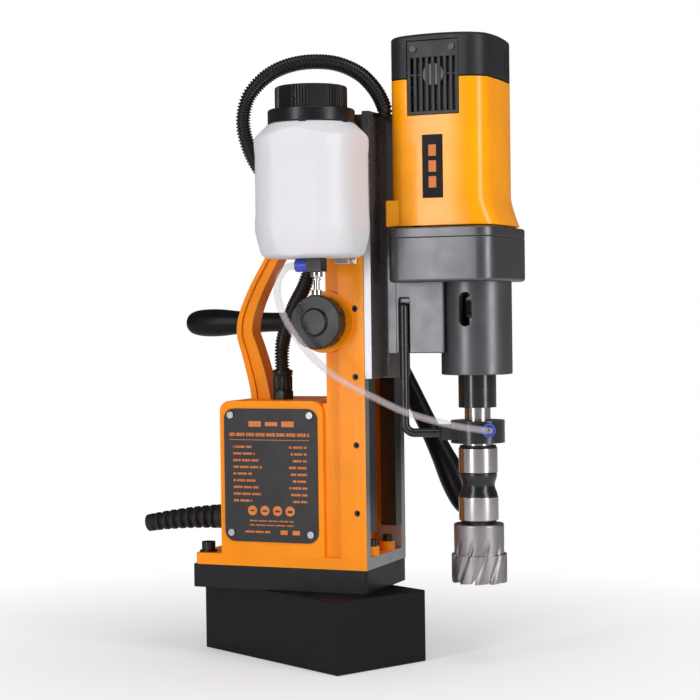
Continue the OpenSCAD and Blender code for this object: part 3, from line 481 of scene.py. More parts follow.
def facing_x(x, y, z):
    """A place whose Z axis points along X."""
    return Matrix.Translation(Vector((x, y, z))) @ Matrix.Rotation(math.pi / 2, 4, "Y")


def subtract(obj, shape):
    """Subtracts the closed bmesh shape from obj."""
    tool = new_object("cutter", shape, "carbon")
    boolean = obj.modifiers.new("cut", "BOOLEAN")
    boolean.object = tool
    boolean.operation = "DIFFERENCE"
    boolean.solver = "MANIFOLD"
    apply_modifiers(obj)
    bpy.data.objects.remove(tool)
    return obj


def cut(obj, boxes):
    bm = bmesh.new()
    for low, high in boxes:
        box_into(bm, low, high)
    return subtract(obj, bm)


def second_finish(obj, material, wanted):
    """The faces that wanted(face) picks get another material."""
    obj.data.materials.append(MATERIALS[material])
    for poly in obj.data.polygons:
        if wanted(poly):
            poly.material_index = 1


# ---------------------------------------------------------------- pieces


def centre_of(node):
    low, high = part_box(node)
    return (low + high) / 2


def column_pieces():
    casting = skin("column_casting", mm(1.1), 3)
    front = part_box("column_casting")[0].y
    second_finish(
        casting, "machined_steel", lambda f: f.normal.y < -0.99 and abs(f.center.y - front) < mm(0.2)
    )
    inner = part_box("gibs")[1].x
    bm = bmesh.new()
    box_into(
        bm,
        (inner - mm(0.7), front + mm(0.6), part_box("swivel_plate")[1].z + mm(11)),
        (inner + mm(0.3), front + mm(24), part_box("gibs")[0].z - mm(0.4)),
    )
    seat = new_object("gib_seat", bm, "seat_grey")
    soften(seat, mm(0.25))
    join_body(seat, "column")
    skin("swivel_plate", mm(1.6), 3)
    skin("magnet_core", mm(0.9), 3)
    skin("foot_bolts", mm(0.5))
    skin("label_plate", mm(0.35))
    skin("control_panel", mm(0.5))
    gland()
    skin("bottle_bracket", mm(1.2))
    skin("coolant_tap", mm(0.9))
    skin("tap_collet", mm(0.9), 3)
    skin("needle_valve", mm(0.4))
    for node in ("start_button", "stop_button", "magnet_switch", "speed_dial"):
        skin(node, mm(0.7), 3)


def print_marks():
    """Rows of blocks that spell nothing, plain bars and four plain discs on the label plate."""
    low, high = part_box("label_plate")
    face = low.x
    width, height = high.y - low.y, high.z - low.z
    lift = mm(0.12)
    bm = bmesh.new()

    def bar(u, v, length, tall):
        """u runs from the plate's rear edge to its front edge, v down from its top, as shares."""
        y = high.y - u * width
        z = high.z - v * height
        box_into(bm, (face - lift, y - length, z - tall / 2), (face + lift, y, z + tall / 2))

    def words(u, v, total, tall, seed):
        """Blocks of uneven length that read as print from afar but spell nothing."""
        done, i = 0.0, 0
        while done < total:
            block = mm(0.9 + 0.5 * ((seed * 7 + i * 5) % 3))
            gap = mm(0.45) if (i + seed) % 5 else mm(1.5)
            bar(u + done / width, v, min(block, total - done), tall)
            done += block + gap
            i += 1

    for k, share in enumerate((0.0, 0.11, 0.22)):
        bar(0.27 + share * 1.6, 0.115, mm(12.5), mm(5.2 - 1.4 * (k == 1)))
    words(0.06, 0.195, width * 0.86, mm(3.1), 3)
    bar(0.06, 0.235, width * 0.86, mm(0.5))
    for row in range(9):
        v = 0.288 + row * 0.0505
        words(0.10, v, width * (0.20 + 0.035 * ((row * 5) % 4)), mm(2.1), row)
        words(0.70 + 0.02 * (row % 3), v, width * (0.19 - 0.02 * (row % 3)), mm(2.1), row + 4)
    for row in range(2):
        words(0.27, 0.842 + row * 0.032, width * 0.47, mm(1.1), row + 2)
    words(0.22, 0.925, width * 0.27, mm(1.9), 6)
    for k in range(2):
        bar(0.60 + 0.13 * k, 0.925, mm(7.0), mm(4.0))
    discs = [(high.y - (0.30 + 0.135 * k) * width, high.z - 0.765 * height) for k in range(4)]
    for y, z in discs:
        disc_into(bm, mm(4.6), lift * 2, facing_x(face, y, z), 32)
    join_body(new_object("label_marks", bm, "print_orange", smooth=False), "column")
    bm = bmesh.new()
    for k, (y, z) in enumerate(discs):
        thick = mm(0.6 + 0.35 * k)
        box_into(bm, (face - lift * 1.4, y - mm(2.4), z - thick), (face, y + mm(2.4), z + mm(0.6)))
    join_body(new_object("label_disc_marks", bm, "label_charcoal", smooth=False), "column")


def gland():
    """Hexagon foot, ribbed grip and a collar that holds the conduit."""
    low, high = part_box("conduit_gland")
    base = Vector(((low.x + high.x) / 2, (low.y + high.y) / 2, high.z - mm(28)))

    def shape(angle, radius, height):
        if height < mm(8.2) and radius > mm(9):
            sector = (angle + math.pi / 6) % (math.pi / 3) - math.pi / 6
            return min(radius, mm(9.3) / math.cos(sector))
        if mm(9) < height < mm(21.5):
            return radius - mm(0.5) + mm(0.5) * math.cos(angle * 14)
        return radius

    foot = profile_mm((7, 0), (10, 0), (10.4, 0.5), (10.4, 7.2), (9.4, 8.1), (8.4, 8.6))
    grip = profile_mm((9.2, 9.4), (9.2, 21), (8.5, 22))
    collar = profile_mm((9.4, 22.6), (9.4, 26.6), (8.8, 27.6), (5.4, 28))
    turned = lathe("conduit_gland_ribbed", foot + grip + collar, "black_plastic", base, 168, shape)
    place(turned, "conduit_gland")


def cord_boot():
    """Ribbed strain relief that droops to its thin end."""
    start = Vector((0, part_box("column_casting")[1].y - mm(27.3), mm(127)))
    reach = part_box("cord_boot")[1].y - start.y
    drop, steps = mm(9.5), 120
    path = [start + Vector((0, reach * i / steps, -drop * (i / steps) ** 2)) for i in range(steps + 1)]
    ribs, collar = 8, 0.27

    def radius(i, count):
        t = i / (count - 1)
        if i in (0, count - 1):
            return mm(5.0)
        if t < collar:
            return mm(12.0) - mm(0.7) * t / collar
        s = (t - collar) / (1 - collar)
        crest = mm(11.4) - mm(3.2) * s
        if s > 0.90:
            return crest
        phase = (s / 0.90 * ribs) % 1.0
        groove = 0.5 - 0.5 * math.cos(2 * math.pi * phase)
        return crest - mm(3.4) * (1 - min(1.0, groove * 1.9))

    place(sweep("cord_boot_ribbed", path, radius, "black_rubber", 40), "cord_boot")


def square_reach(angle, half, radius):
    """Distance from the middle of a rounded square to its outline, in the direction of angle."""
    c, t = abs(math.cos(angle)), abs(math.sin(angle))
    c, t = max(c, t), min(c, t)
    flat = half - radius
    if half * t / c <= flat:
        return half / c
    b = (c + t) * flat
    return b + math.sqrt(max(0.0, b * b - 2 * flat * flat + radius * radius))


def soft_least(a, b, blend):
    """The smaller of a and b, rounded off where they meet."""
    least = -blend * math.log(math.exp(-a / blend) + math.exp(-b / blend))
    return least + blend * math.log(2) * math.exp(-abs(a - b) / blend)


def bottle_pieces():
    low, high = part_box("coolant_bottle")
    cx, cy = (low.x + high.x) / 2, (low.y + high.y) / 2
    half = (high.x - low.x) / 2 - mm(0.9)
    shoulder = (high.z - low.z) - mm(16)
    heights = [0, 0.6, 1.6, 3, 5, 8, 12, 17, 23, 30, 40, 50, 60, 70, 80, 90]
    heights += [97 + k * 1.25 for k in range(17)]

    def level(h):
        """A rounded square, drawn in at the foot, at the middle and towards the shoulder."""
        foot = max(0.0, 1 - h / 26)
        flat = half - mm(2.2) * foot**2.5 - mm(0.5) * (38 < h < 92)
        round_limit = half + mm(6.6) - mm(7.0) * foot - mm(5.5) * max(0.0, 1 - h / 4) ** 2
        round_limit = min(round_limit, mm(38.4) + (shoulder - mm(h)) * 1.02)

        def reach(angle, radius, height):
            return soft_least(square_reach(angle, flat, mm(28)), round_limit, mm(1.3))

        return [p + Vector((cx, cy, low.z)) for p in circle(0.0, mm(h), 180, reach)]

    bm = bmesh.new()
    loft(bm, [level(h) for h in heights if mm(h) <= shoulder])
    bottle = new_object("coolant_bottle_body", bm, "bottle_plastic")
    place(bottle, "coolant_bottle")
    neck = [(mm(26.4), 0.0)] + [(mm(27.7), mm(0.4 * k)) for k in range(43)]
    neck += profile_mm((27.4, 17.2), (26.6, 17.2), (26.4, 16.8), (26.4, 0.2))

    def thread(angle, radius, height):
        """One raised helix of 5 mm pitch around the neck."""
        if radius < mm(27.5) or height < mm(1.5) or height > mm(16):
            return radius
        return radius + mm(0.75) * max(0.0, math.cos(angle - 2 * math.pi * height / mm(5))) ** 3

    neck_base = Vector((cx, cy, high.z - mm(17.2)))
    neck_tube = lathe("coolant_bottle_neck", neck, "bottle_plastic", neck_base, 144, thread, True)
    join_body(neck_tube, BODY_OF["coolant_bottle"])

    cap_low, cap_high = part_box("bottle_cap")
    base = Vector((cx, cy, cap_low.z))
    top = cap_high.z - cap_low.z
    seam = mm(12.8)

    def facets(angle, radius, height):
        """Groups of fine ribs between smooth flats, on the cap's upper part only."""
        if height < seam + mm(0.5) or height > top - mm(1.2) or radius < mm(28):
            return radius
        step = math.radians(30)
        local = (angle + math.radians(8)) % (2 * step)
        if local < step:
            return radius - mm(0.7) + mm(0.7) * math.cos(local / step * 2 * math.pi * 6)
        return radius * math.cos(step / 2) / math.cos(local - 1.5 * step)

    def below_top(*pairs):
        return [(mm(radius), top - mm(depth)) for radius, depth in pairs]

    profile = below_top((2.0, 2.6), (28.4, 2.6), (28.8, 3.0))
    profile += profile_mm((28.8, 0.6), (29.4, 0), (37.0, 0), (38.3, 1.0), (38.3, 11.2), (37.4, 12.4))
    profile += [(mm(33.6), seam), (mm(31.9), seam + mm(0.6))]
    profile += below_top((31.9, 3.0), (31.8, 1.3), (31.0, 0.5), (29.4, 0), (27.5, 0), (26.5, 1.0), (2.0, 1.0))
    cap = lathe("bottle_cap_ribbed", profile, "black_plastic", base, 360, facets)
    soften(cap, mm(0.25), 1, 40)
    place(cap, "bottle_cap")
    bm = bmesh.new()
    for k in range(6):
        turn = Matrix.Translation(base) @ Matrix.Rotation(math.radians(60 * k + 12), 4, "Z")
        lug = bmesh.ops.create_cube(bm, size=1.0)["verts"]
        for v in lug:
            x, y, z = v.co
            v.co = turn @ Vector((x * mm(4.0) + mm(37.2), y * mm(7.0), z * mm(5.0) + mm(0.2)))
    lugs = new_object("bottle_ring_lugs", bm, "black_plastic")
    soften(lugs, mm(0.8))
    join_body(lugs, "bottle_cap")


def flexible_lines():
    """The cable conduit and the coolant hose, each bent between column and carriage."""
    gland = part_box("conduit_gland")
    gx, gy = (gland[0].x + gland[1].x) / 2, (gland[0].y + gland[1].y) / 2
    route = [Vector((gx, gy, gland[1].z - mm(6))), Vector((gx - mm(1), gy, gland[1].z + mm(17)))]
    route += points_mm(
        (-18, 11, 303), (-22, 0, 326), (-26, -14, 348), (-28, -20, 370), (-30, -13, 398), (-30, 5, 428),
        (-30, 30, 456), (-30, 42, 480), (-30, 45.5, 503), (-30, 38, 525), (-30, 17, 542.5), (-30, -11, 550.5),
        (-30, -44, 549), (-30, -70, 538.5), (-32, -87.5, 522), (-34, -97, 505), (-34, -97, 496),
    )
    pitch = mm(2.9)
    path = even_path(smooth_path(route), pitch / 4)

    def corrugated(i, count):
        if i in (0, count - 1):
            return mm(5.0)
        return mm(6.9) - mm(1.5) * (i % 4 in (2, 3))

    conduit = sweep("cable_conduit_ribbed", path, corrugated, "black_plastic", 28)
    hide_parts("cable_conduit")
    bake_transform(conduit)

    tap = centre_of("tap_collet")
    ring = centre_of("ring_collet")
    mouth = ring + (ring - centre_of("arbor")) * Vector((1, 1, 0)) * 0.2
    bends = points_mm(
        (-100, -36, 362), (-99.5, -27, 360), (-99, -19.5, 349), (-98, -19, 332), (-95, -26, 312),
        (-91, -40, 290), (-86, -59, 270), (-79, -78, 256), (-71, -99, 244.5), (-62, -119, 233.5),
        (-53, -140, 225.5), (-46, -157, 220.5), (-39.5, -173, 216.8), (-33.9, -185.3, 214.7),
        (-32.2, -188, 214.2), (-29.4, -189.8, 213.8), (-26, -190, 213.6),
    )
    route = [tap + vmm(0, 2, 0)] + bends + [mouth + vmm(-1.6, -1.25, 0), ring]
    path = even_path(smooth_path(route), mm(3.0))
    bm = bmesh.new()
    outer, inner = (sweep_rings(path, lambda i, count: mm(r), 20) for r in (3.2, 2.2))
    loft(bm, outer + inner[::-1], closed=True)
    hose = new_object("coolant_hose_clear", bm, "clear_hose")
    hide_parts("coolant_hose")
    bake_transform(hose)


def crowned_outline(low, high, radius, side_crown, front_crown, grow_front=0.0, inset=0.0):
    """A rounded rectangle with softly crowned sides and front; grow_front pushes the front forward."""
    points = round_outline(low.x, high.x, low.y, high.y, radius, 9, 12)
    middle = (low.y + high.y) / 2
    half_x, half_y = (high.x - low.x) / 2, (high.y - low.y) / 2
    out = []
    for p in points:
        u, v = p.x / half_x, (p.y - middle) / half_y
        side = math.copysign(1.0, u) * side_crown * max(0.0, 1 - v * v) * abs(u) ** 3
        front = front_crown * max(0.0, -v) ** 3 * (1 - u * u) + mm(0.6) * max(0.0, -v) ** 6
        x = p.x + side - u * inset
        y = p.y - front - grow_front * max(0.0, -v) ** 1.5 - v * inset
        out.append(Vector((x, y)))
    return out


def motor_outline(grow_front=0.0, inset=0.0):
    low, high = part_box("motor_cap")
    return crowned_outline(low, high, mm(15), mm(2.2), mm(3.0), grow_front, inset)


def vent_boxes():
    """The two windows that the vent grilles fill, a little larger than the grilles."""
    low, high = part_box("vent_grilles")
    gap = mm(0.5)
    depth = mm(8)
    return [
        ((x - depth, low.y - gap, low.z - gap), (x + depth, high.y + gap, high.z + gap))
        for x in (low.x, high.x)
    ]


def shell_from(name, rings, material, cap_end):
    """A 3 mm thick moulding from rings, open below, with the vent windows cut."""
    bm = bmesh.new()
    loft(bm, rings, cap_start=False, cap_end=cap_end)
    obj = new_object(name, bm, material)
    wall = obj.modifiers.new("wall", "SOLIDIFY")
    wall.thickness = mm(3)
    wall.offset = -1
    apply_modifiers(obj)
    cut(obj, vent_boxes())
    for poly in obj.data.polygons:
        poly.use_smooth = True
    return soften(obj, mm(0.45), 2, 40)


def motor_pieces():
    low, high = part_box("motor_housing")
    seam = high.z
    bottom = low.z
    flare = mm(8)
    skirt = mm(26)
    rings = []
    for k in range(7):
        t = k / 6
        z = bottom + mm(0.6) + skirt * t
        rings.append(at_height(motor_outline(flare * (1 - t) ** 1.3), z))
    straight = seam - mm(0.5) - bottom - skirt
    rings += [at_height(motor_outline(), bottom + skirt + straight * k / 8) for k in range(1, 9)]
    housing = shell_from("motor_housing_shell", rings, "motor_orange", False)
    place(housing, "motor_housing")

    bm = bmesh.new()
    rear = high.y
    width = mm(15)
    for side in (-1, 1):
        x0, x1 = sorted((side * high.x, side * (high.x - width)))
        outline = round_outline(x0, x1, rear - width, rear, mm(2))
        loft(bm, [at_height(outline, bottom + mm(0.6)), at_height(outline, bottom + mm(24))])
    lugs = new_object("motor_foot_lugs", bm, "motor_orange")
    soften(lugs, mm(1.0), 3)
    join_body(lugs, "carriage")

    cap_low, cap_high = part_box("motor_cap")
    centre = Vector(((low.x + high.x) / 2, (cap_low.y + cap_high.y) / 2))
    rise = cap_high.z - seam
    dip = mm(3.4)

    def crown(outline, height):
        """Points at a height that falls off away from the middle and dips towards the rear corners."""
        ring = []
        for p in outline:
            off = (p - centre).length
            ring.append(Vector((p.x, p.y, seam + height - dip * (height / rise) * (off / mm(62)) ** 2)))
        return ring

    outline = motor_outline()
    edge = rise - dip
    rings = [at_height(outline, seam + mm(0.5)), at_height(outline, seam + mm(4))]
    rings += [crown(outline, mm(z)) for z in (12, 20, 28)]
    rings.append(crown(outline, edge - mm(1)))
    for k in range(1, 7):
        a = math.radians(15 * k)
        rounded = motor_outline(inset=mm(4) * (1 - math.cos(a)))
        rings.append(crown(rounded, edge - mm(1) + mm(3.0) * math.sin(a)))
    last = motor_outline(inset=mm(4))
    for k in range(1, 8):
        share = 1 - k / 8
        ring = [centre + (p - centre) * share for p in last]
        rings.append(crown(ring, edge + mm(2) + mm(1.4) * (1 - share)))
    cap = shell_from("motor_cap_shell", rings, "cap_charcoal", True)
    front = cap_low.y - mm(3)
    grooves = [
        ((mm(x), front - mm(5), seam + mm(5)), (mm(x + 1.8), front + mm(1.0 + 0.1 * k), seam + mm(30)))
        for k, x in enumerate((11, 17, 23))
    ]
    cap.modifiers.clear()
    cut(cap, grooves)
    soften(cap, mm(0.4), 2, 40)
    place(cap, "motor_cap")

    grille_details()
    badge()


def grille_details():
    """Slotted grilles, with a brush cap, a seam rib and a dark sheet behind the bars that is painted shade
    for the motor's inside.
    """
    low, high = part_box("vent_grilles")
    thick, bar, slots = mm(3.4), mm(3.0), 8
    y0, y1 = low.y, high.y
    z0, z1 = low.z, high.z
    slot_low, slot_high = z0 + mm(3.2), z0 + mm(50.5)
    pitch = (y1 - y0 - mm(3.2)) / slots
    bm = bmesh.new()
    behind = bmesh.new()
    shade_backing = bmesh.new()
    for side in (-1, 1):
        xs = sorted((side * high.x, side * (high.x - thick)))
        box_into(bm, (xs[0], y0, slot_high), (xs[1], y1, z1))
        box_into(bm, (xs[0], y0, z0), (xs[1], y1, slot_low))
        for k in range(slots + 1):
            y = y0 + k * pitch
            wide = mm(3.2) if k in (0, slots) else bar
            start = y if k < slots else y1 - wide
            box_into(bm, (xs[0], start, slot_low - mm(0.2)), (xs[1], start + wide, slot_high + mm(0.2)))
        inner = side * (high.x - thick)
        turn = facing_x(inner + side * mm(1.2), (y0 + y1) / 2, z0 + mm(35.5))
        disc_into(behind, mm(9.8), mm(2.6), turn, 48)
        xs = sorted((inner + side * mm(0.2), inner + side * mm(1.8)))
        box_into(behind, (xs[0], y0 + mm(3), z0 + mm(34.9)), (xs[1], y1 - mm(3), z0 + mm(36.1)))
        # Painted shade: a dark sheet a little inside each grille stands for the shaded inside of the motor.
        xs = sorted((inner - side * mm(7), inner - side * mm(8)))
        box_into(shade_backing, (xs[0], y0 + mm(1), z0 + mm(1)), (xs[1], y1 - mm(1), z1 - mm(1)))
    shade_sheets = new_object("grille_shade_sheets", shade_backing, "carbon")
    soften(shade_sheets, mm(0.3))
    join_body(shade_sheets, "carriage")
    grilles = new_object("vent_grille_bars", bm, "grille_black", smooth=False)
    soften(grilles, mm(0.3), 2, 40)
    place(grilles, "vent_grilles")
    caps = new_object("brush_caps", behind, "brush_grey")
    soften(caps, mm(0.4), 2, 40)
    join_body(caps, "carriage")


def badge():
    """A dark badge with three plain squares on the motor's near side."""
    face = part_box("motor_cap")[0].x - mm(2.2)
    low = Vector((face, mm(-157), mm(421)))
    high = Vector((face, mm(-138), mm(477)))
    bm = bmesh.new()
    box_into(bm, low - vmm(0.7, 0, 0), high + vmm(1.2, 0, 0))
    plate = new_object("motor_badge", bm, "badge_black")
    soften(plate, mm(0.3))
    join_body(plate, "carriage")
    bm = bmesh.new()
    for k in range(3):
        z0 = low.z + mm(9 + 14 * k)
        box_into(bm, (face - mm(0.85), low.y + mm(6), z0), (face - mm(0.5), high.y - mm(6), z0 + mm(10)))
    join_body(new_object("motor_badge_stripes", bm, "print_orange", False), "carriage")


def gear_case():
    """Crowned case and cover, the barrel with its drift slot, and the web bolted to the bracket."""
    low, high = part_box("gear_case")
    cover_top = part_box("gear_cover")[1].z
    floor = mm(346.5)

    def case_ring(z, inset):
        return at_height(crowned_outline(low, high, mm(14), mm(2.4), mm(1.5), 0.0, inset), z)

    def case_part(name, node, levels):
        """A moulding from (height, inset) pairs."""
        bm = bmesh.new()
        loft(bm, [case_ring(z, mm(inset)) for z, inset in levels])
        part = new_object(name, bm, "case_grey")
        soften(part, mm(0.3), 2, 40)
        place(part, node)

    belly = [(floor, 2.6), (floor + mm(0.5), 1.1), (floor + mm(1.6), 0.3), (floor + mm(2.8), 0)]
    case_part("gear_case_shell", "gear_case", belly + [(high.z - mm(0.5), 0), (high.z - mm(0.1), 0.5)])
    lid = [(high.z, 0.5), (high.z + mm(0.4), 0), (cover_top - mm(1.8), 0)]
    case_part("gear_cover_shell", "gear_cover", lid + [(cover_top - mm(0.6), 0.5), (cover_top, 2)])

    axis = centre_of("spindle")
    outer, inner = mm(32.15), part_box("spindle")[1].x + mm(0.6)
    top = floor + mm(1)
    corners = [(inner, low.z), (outer, low.z), (outer, top), (inner, top), (inner, low.z)]
    profile = rounded_profile(corners, mm(1.2))[1:-1]
    barrel = lathe("gear_barrel", profile, "case_grey", (axis.x, axis.y, 0), 144, closed=True)
    slot = bmesh.new()
    half, bottom, rise = mm(6), mm(306.6), mm(337.4)
    arc = [math.pi * k / 16 for k in range(17)]
    outline = [(axis.y + half * math.cos(a), rise - half + half * math.sin(a)) for a in arc]
    outline += [(axis.y - half * math.cos(a), bottom + half - half * math.sin(a)) for a in arc]
    loft(slot, [[Vector((x, y, z)) for y, z in outline] for x in (-mm(60), mm(60))])
    subtract(barrel, slot)
    for poly in barrel.data.polygons:
        poly.use_smooth = True
    soften(barrel, mm(0.7), 3, 40)
    join_body(barrel, "carriage")

    groove_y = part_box("ring_rod")[1].y - mm(4)
    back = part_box("motor_bracket")[0].y
    bm = bmesh.new()
    box_into(bm, (-mm(30), mm(-150), mm(283)), (mm(30), back - mm(0.1), floor + mm(2)))
    web = new_object("gear_web", bm, "case_grey")
    rod_groove = ((-mm(36), groove_y - mm(4.8), mm(270)), (-mm(26.2), groove_y + mm(4.8), mm(333)))
    screw_gap = ((-mm(22), back - mm(8), mm(293)), (mm(22), 0.0, mm(307)))
    cut(web, [rod_groove, screw_gap])
    bore = bmesh.new()
    disc_into(bore, outer - mm(3), mm(200), Matrix.Translation(Vector((axis.x, axis.y, mm(300)))), 96)
    subtract(web, bore)
    soften(web, mm(1.1), 3)
    join_body(web, "carriage")


def gearbox_pieces():
    skin("housing_screws", mm(0.2), slot="black_oxide")
    gear_case()
    skin("motor_bracket", mm(0.6))
    slide = skin("slide", mm(0.5))
    side = max(v.co.x for v in slide.data.vertices) - mm(0.4)
    # Painted reflection on the slide's outer side faces: bright below, dark above.
    second_finish(slide, "slide_edge", lambda f: abs(f.normal.x) > 0.95 and abs(f.center.x) > side)
    skin("coolant_ring", mm(1.6), 3)
    skin("ring_collet", mm(0.9), 3)
    low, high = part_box("ring_rod")
    x0, y0 = low.x + mm(4), high.y - mm(4)
    foot = low.z + mm(4)
    lug = Vector((mm(-18.2), mm(-142.3), foot))
    start = Vector((x0, y0, foot))
    run = (lug - start).normalized()
    corner = mm(9)
    domed = high.z - mm(4.2)
    path = [Vector((x0, y0, high.z - mm(t))) for t in (0, 0.8, 2.4, 4.2)]
    path += [Vector((x0, y0, domed - k * (domed - foot - corner) / 12)) for k in range(1, 13)]
    for k in range(1, 9):
        a = math.radians(90 * k / 8)
        path.append(start + run * corner * (1 - math.cos(a)) + Vector((0, 0, corner * (1 - math.sin(a)))))
    path += [start + run * corner + (lug - start - run * corner) * k / 4 for k in range(1, 5)]
    path.append(lug + Vector((mm(4), mm(-6), 0)))

    def tip(i, count):
        return (mm(1.2), mm(2.8), mm(3.7))[i] if i < 3 else mm(4.0)

    place(sweep("ring_rod_bent", path, tip, "rod_black", 28), "ring_rod")


def spindle_pieces():
    skin("spindle", mm(0.8), 3)
    axis = centre_of("arbor")
    base = Vector((axis.x, axis.y, 0))

    foot = profile_mm((9.0, 132), (12, 132), (12, 179.4), (17.05, 179.4), (17.05, 174.6), (17.4, 174.5))
    band = profile_mm((17.6, 174.9), (17.6, 196.2), (17.0, 196.9), (13.5, 196.9), (13.5, 221.3))
    neck = profile_mm((11.75, 221.3), (11.75, 233.6), (5.9, 236))
    body = lathe("arbor_turned", foot + band + neck, "arbor_chrome", base)
    soften(body, mm(0.3), 2, 40)
    place(body, "arbor")

    waist = profile_mm((12.06, 174.2), (16.6, 174.2), (16.9, 173.8), (16.9, 172.4))
    for k in range(1, 16):
        t = k / 16
        dip = 0.5 - 0.5 * math.cos(2 * math.pi * t)
        waist.append((mm(17.0 + 0.4 * t) - mm(2.4) * dip, mm(172.0 - 19.4 * t)))
    waist += profile_mm((17.5, 152.4), (18.0, 152.0), (18.0, 131.6), (17.4, 130.9), (12.06, 130.9))
    sleeve = lathe("arbor_sleeve_waisted", waist, "sleeve_black", base, closed=True)
    second_finish(sleeve, "arbor_chrome", lambda f: f.center.z < mm(152.3))
    soften(sleeve, mm(0.25), 2, 50)
    place(sleeve, "arbor_sleeve")
    # Two black rings: the lower one, under the sleeve and above the cutter, is painted shade, black where
    # that gap lies in shadow; the upper one sits on the band's top, in the gap under the coolant ring.
    for inner, outer, low in ((13.4, 16.6, 197.0), (9.6, 15.8, 129.0)):
        ring = profile_mm((inner, low), (outer, low), (outer, low + 1.7), (inner, low + 1.7))
        dark_ring = lathe("seal_%03d" % round(low), ring, "black_rubber", base, closed=True)
        soften(dark_ring, mm(0.4))
        join_body(dark_ring, BODY_OF["arbor"])
    cutter(base)


def cutter(base):
    """Annular cutter: stepped body, ten slanted flutes, notched teeth."""
    low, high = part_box("annular_cutter")
    tip = low.z
    big = (high.x - low.x) / 2
    small = big * 0.906
    bore = big - mm(4.6)
    step = tip + mm(25.6)
    top = tip + mm(53.1)
    fade = tip + mm(39)
    flute_lean = 0.42
    teeth, sides = 10, 400

    def tooth_phase(angle, height):
        """How far along one slanted tooth the point is, from 0 to 1."""
        lean = (height - tip) * flute_lean / big
        return ((angle - lean) / (2 * math.pi) * teeth) % 1.0

    def groove(angle, height):
        """0 on the land, 1 at the flute's floor."""
        phase = tooth_phase(angle, height)
        wall, width = 0.04, 0.20
        if phase < wall:
            depth = phase / wall
        elif phase < width:
            depth = 1.0
        else:
            depth = max(0.0, 1 - (phase - width) / (wall * 4))
        return depth * max(0.0, min(1.0, (fade - height) / mm(9)))

    def fluted(angle, radius, height):
        body = big if height < step + mm(0.1) else small
        return body - groove(angle, height) * mm(1.3) - mm(0.7) * (height == top)

    def notched(ring):
        """The lowest rings rise into the gaps between the teeth."""
        for k, p in enumerate(ring):
            if p.z < tip + mm(5):
                phase = tooth_phase(2 * math.pi * k / sides, p.z)
                notch = mm(4.0) if phase < 0.22 else mm(0.9) * max(0.0, phase - 0.3) / 0.7
                p.z = max(p.z, tip + notch)
        return ring

    heights = [tip + mm(h) for h in (0, 1.1, 2.2, 3.3, 4.4, 7, 10, 13, 16, 19, 22, 25.1)]
    heights += [step, step + mm(0.2)] + [step + mm(1 + 2.0 * k) for k in range(13)] + [top - mm(0.7), top]
    shank = [(mm(9.4), tip + mm(74)), (mm(9.4), top), (small - mm(3), top)]
    rings = [circle(r, h, sides) for r, h in shank]
    rings += [notched(circle(big, h, sides, fluted)) for h in reversed(heights)]
    rings += [notched(circle(bore, h, sides)) for h in heights[:10]]
    bm = bmesh.new()
    loft(bm, [[p + base for p in ring] for ring in rings])
    obj = new_object("annular_cutter_fluted", bm, "cutter_steel")
    soften(obj, mm(0.15), 1, 50)
    place(obj, "annular_cutter")


def feed_pieces():
    skin("feed_knob", mm(1.3), 3, 40)
    skin("feed_hub", mm(1.5), 3)
    hub = centre_of("feed_hub")
    meeting = Vector((centre_of("feed_arms").x, hub.y, hub.z))
    profile = profile_mm((6.2, 50), (8.2, 50.4), (8.9, 53), (9.2, 70), (9.3, 100), (9.6, 118), (10.4, 136))
    profile += profile_mm((11.6, 151), (13.0, 161), (13.8, 171), (13.9, 182), (13.3, 191), (11.8, 198.5))
    profile += profile_mm((8.8, 203.5), (4.5, 205.8), (0.6, 206))
    bm = bmesh.new()
    for turn in (0, 121.5, 243):
        a = math.radians(turn)
        direction = Vector((0, math.cos(a), math.sin(a)))
        matrix = Matrix.Translation(meeting) @ direction.to_track_quat("Z", "Y").to_matrix().to_4x4()
        loft(bm, [[matrix @ p for p in circle(r, h, 64)] for r, h in profile])
    grips = new_object("feed_grips_moulded", bm, "grip_rubber")
    sub = grips.modifiers.new("smooth", "SUBSURF")
    sub.levels = sub.render_levels = 1
    place(grips, "feed_grips")


def inner_materials():
    """CAD solids that stay as they are get their finish."""
    for node, obj in frame["nodes"].items():
        if obj.hide_render:
            continue
        obj.data.materials.clear()
        obj.data.materials.append(MATERIALS[SLOT_OF[node]])


# ---------------------------------------------------------------- stage


def fade_to_white(shader):
    """Away from the drill the floor looks plain white to the camera, with no horizon."""
    nodes = shader.nodes
    distance = nodes.new("ShaderNodeVectorMath")
    distance.operation = "LENGTH"
    shader.links.new(shader.coords.outputs["Object"], distance.inputs[0])
    far = shader.ramp(distance.outputs["Value"], 0.35, 1.0, 0.15, 0.6)
    seen = nodes.new("ShaderNodeLightPath").outputs["Is Camera Ray"]
    white = nodes.new("ShaderNodeEmission")
    white.inputs["Color"].default_value = WHITE
    shader.surface(shader.times(far, seen), shader.bsdf.outputs[0], white.outputs[0])


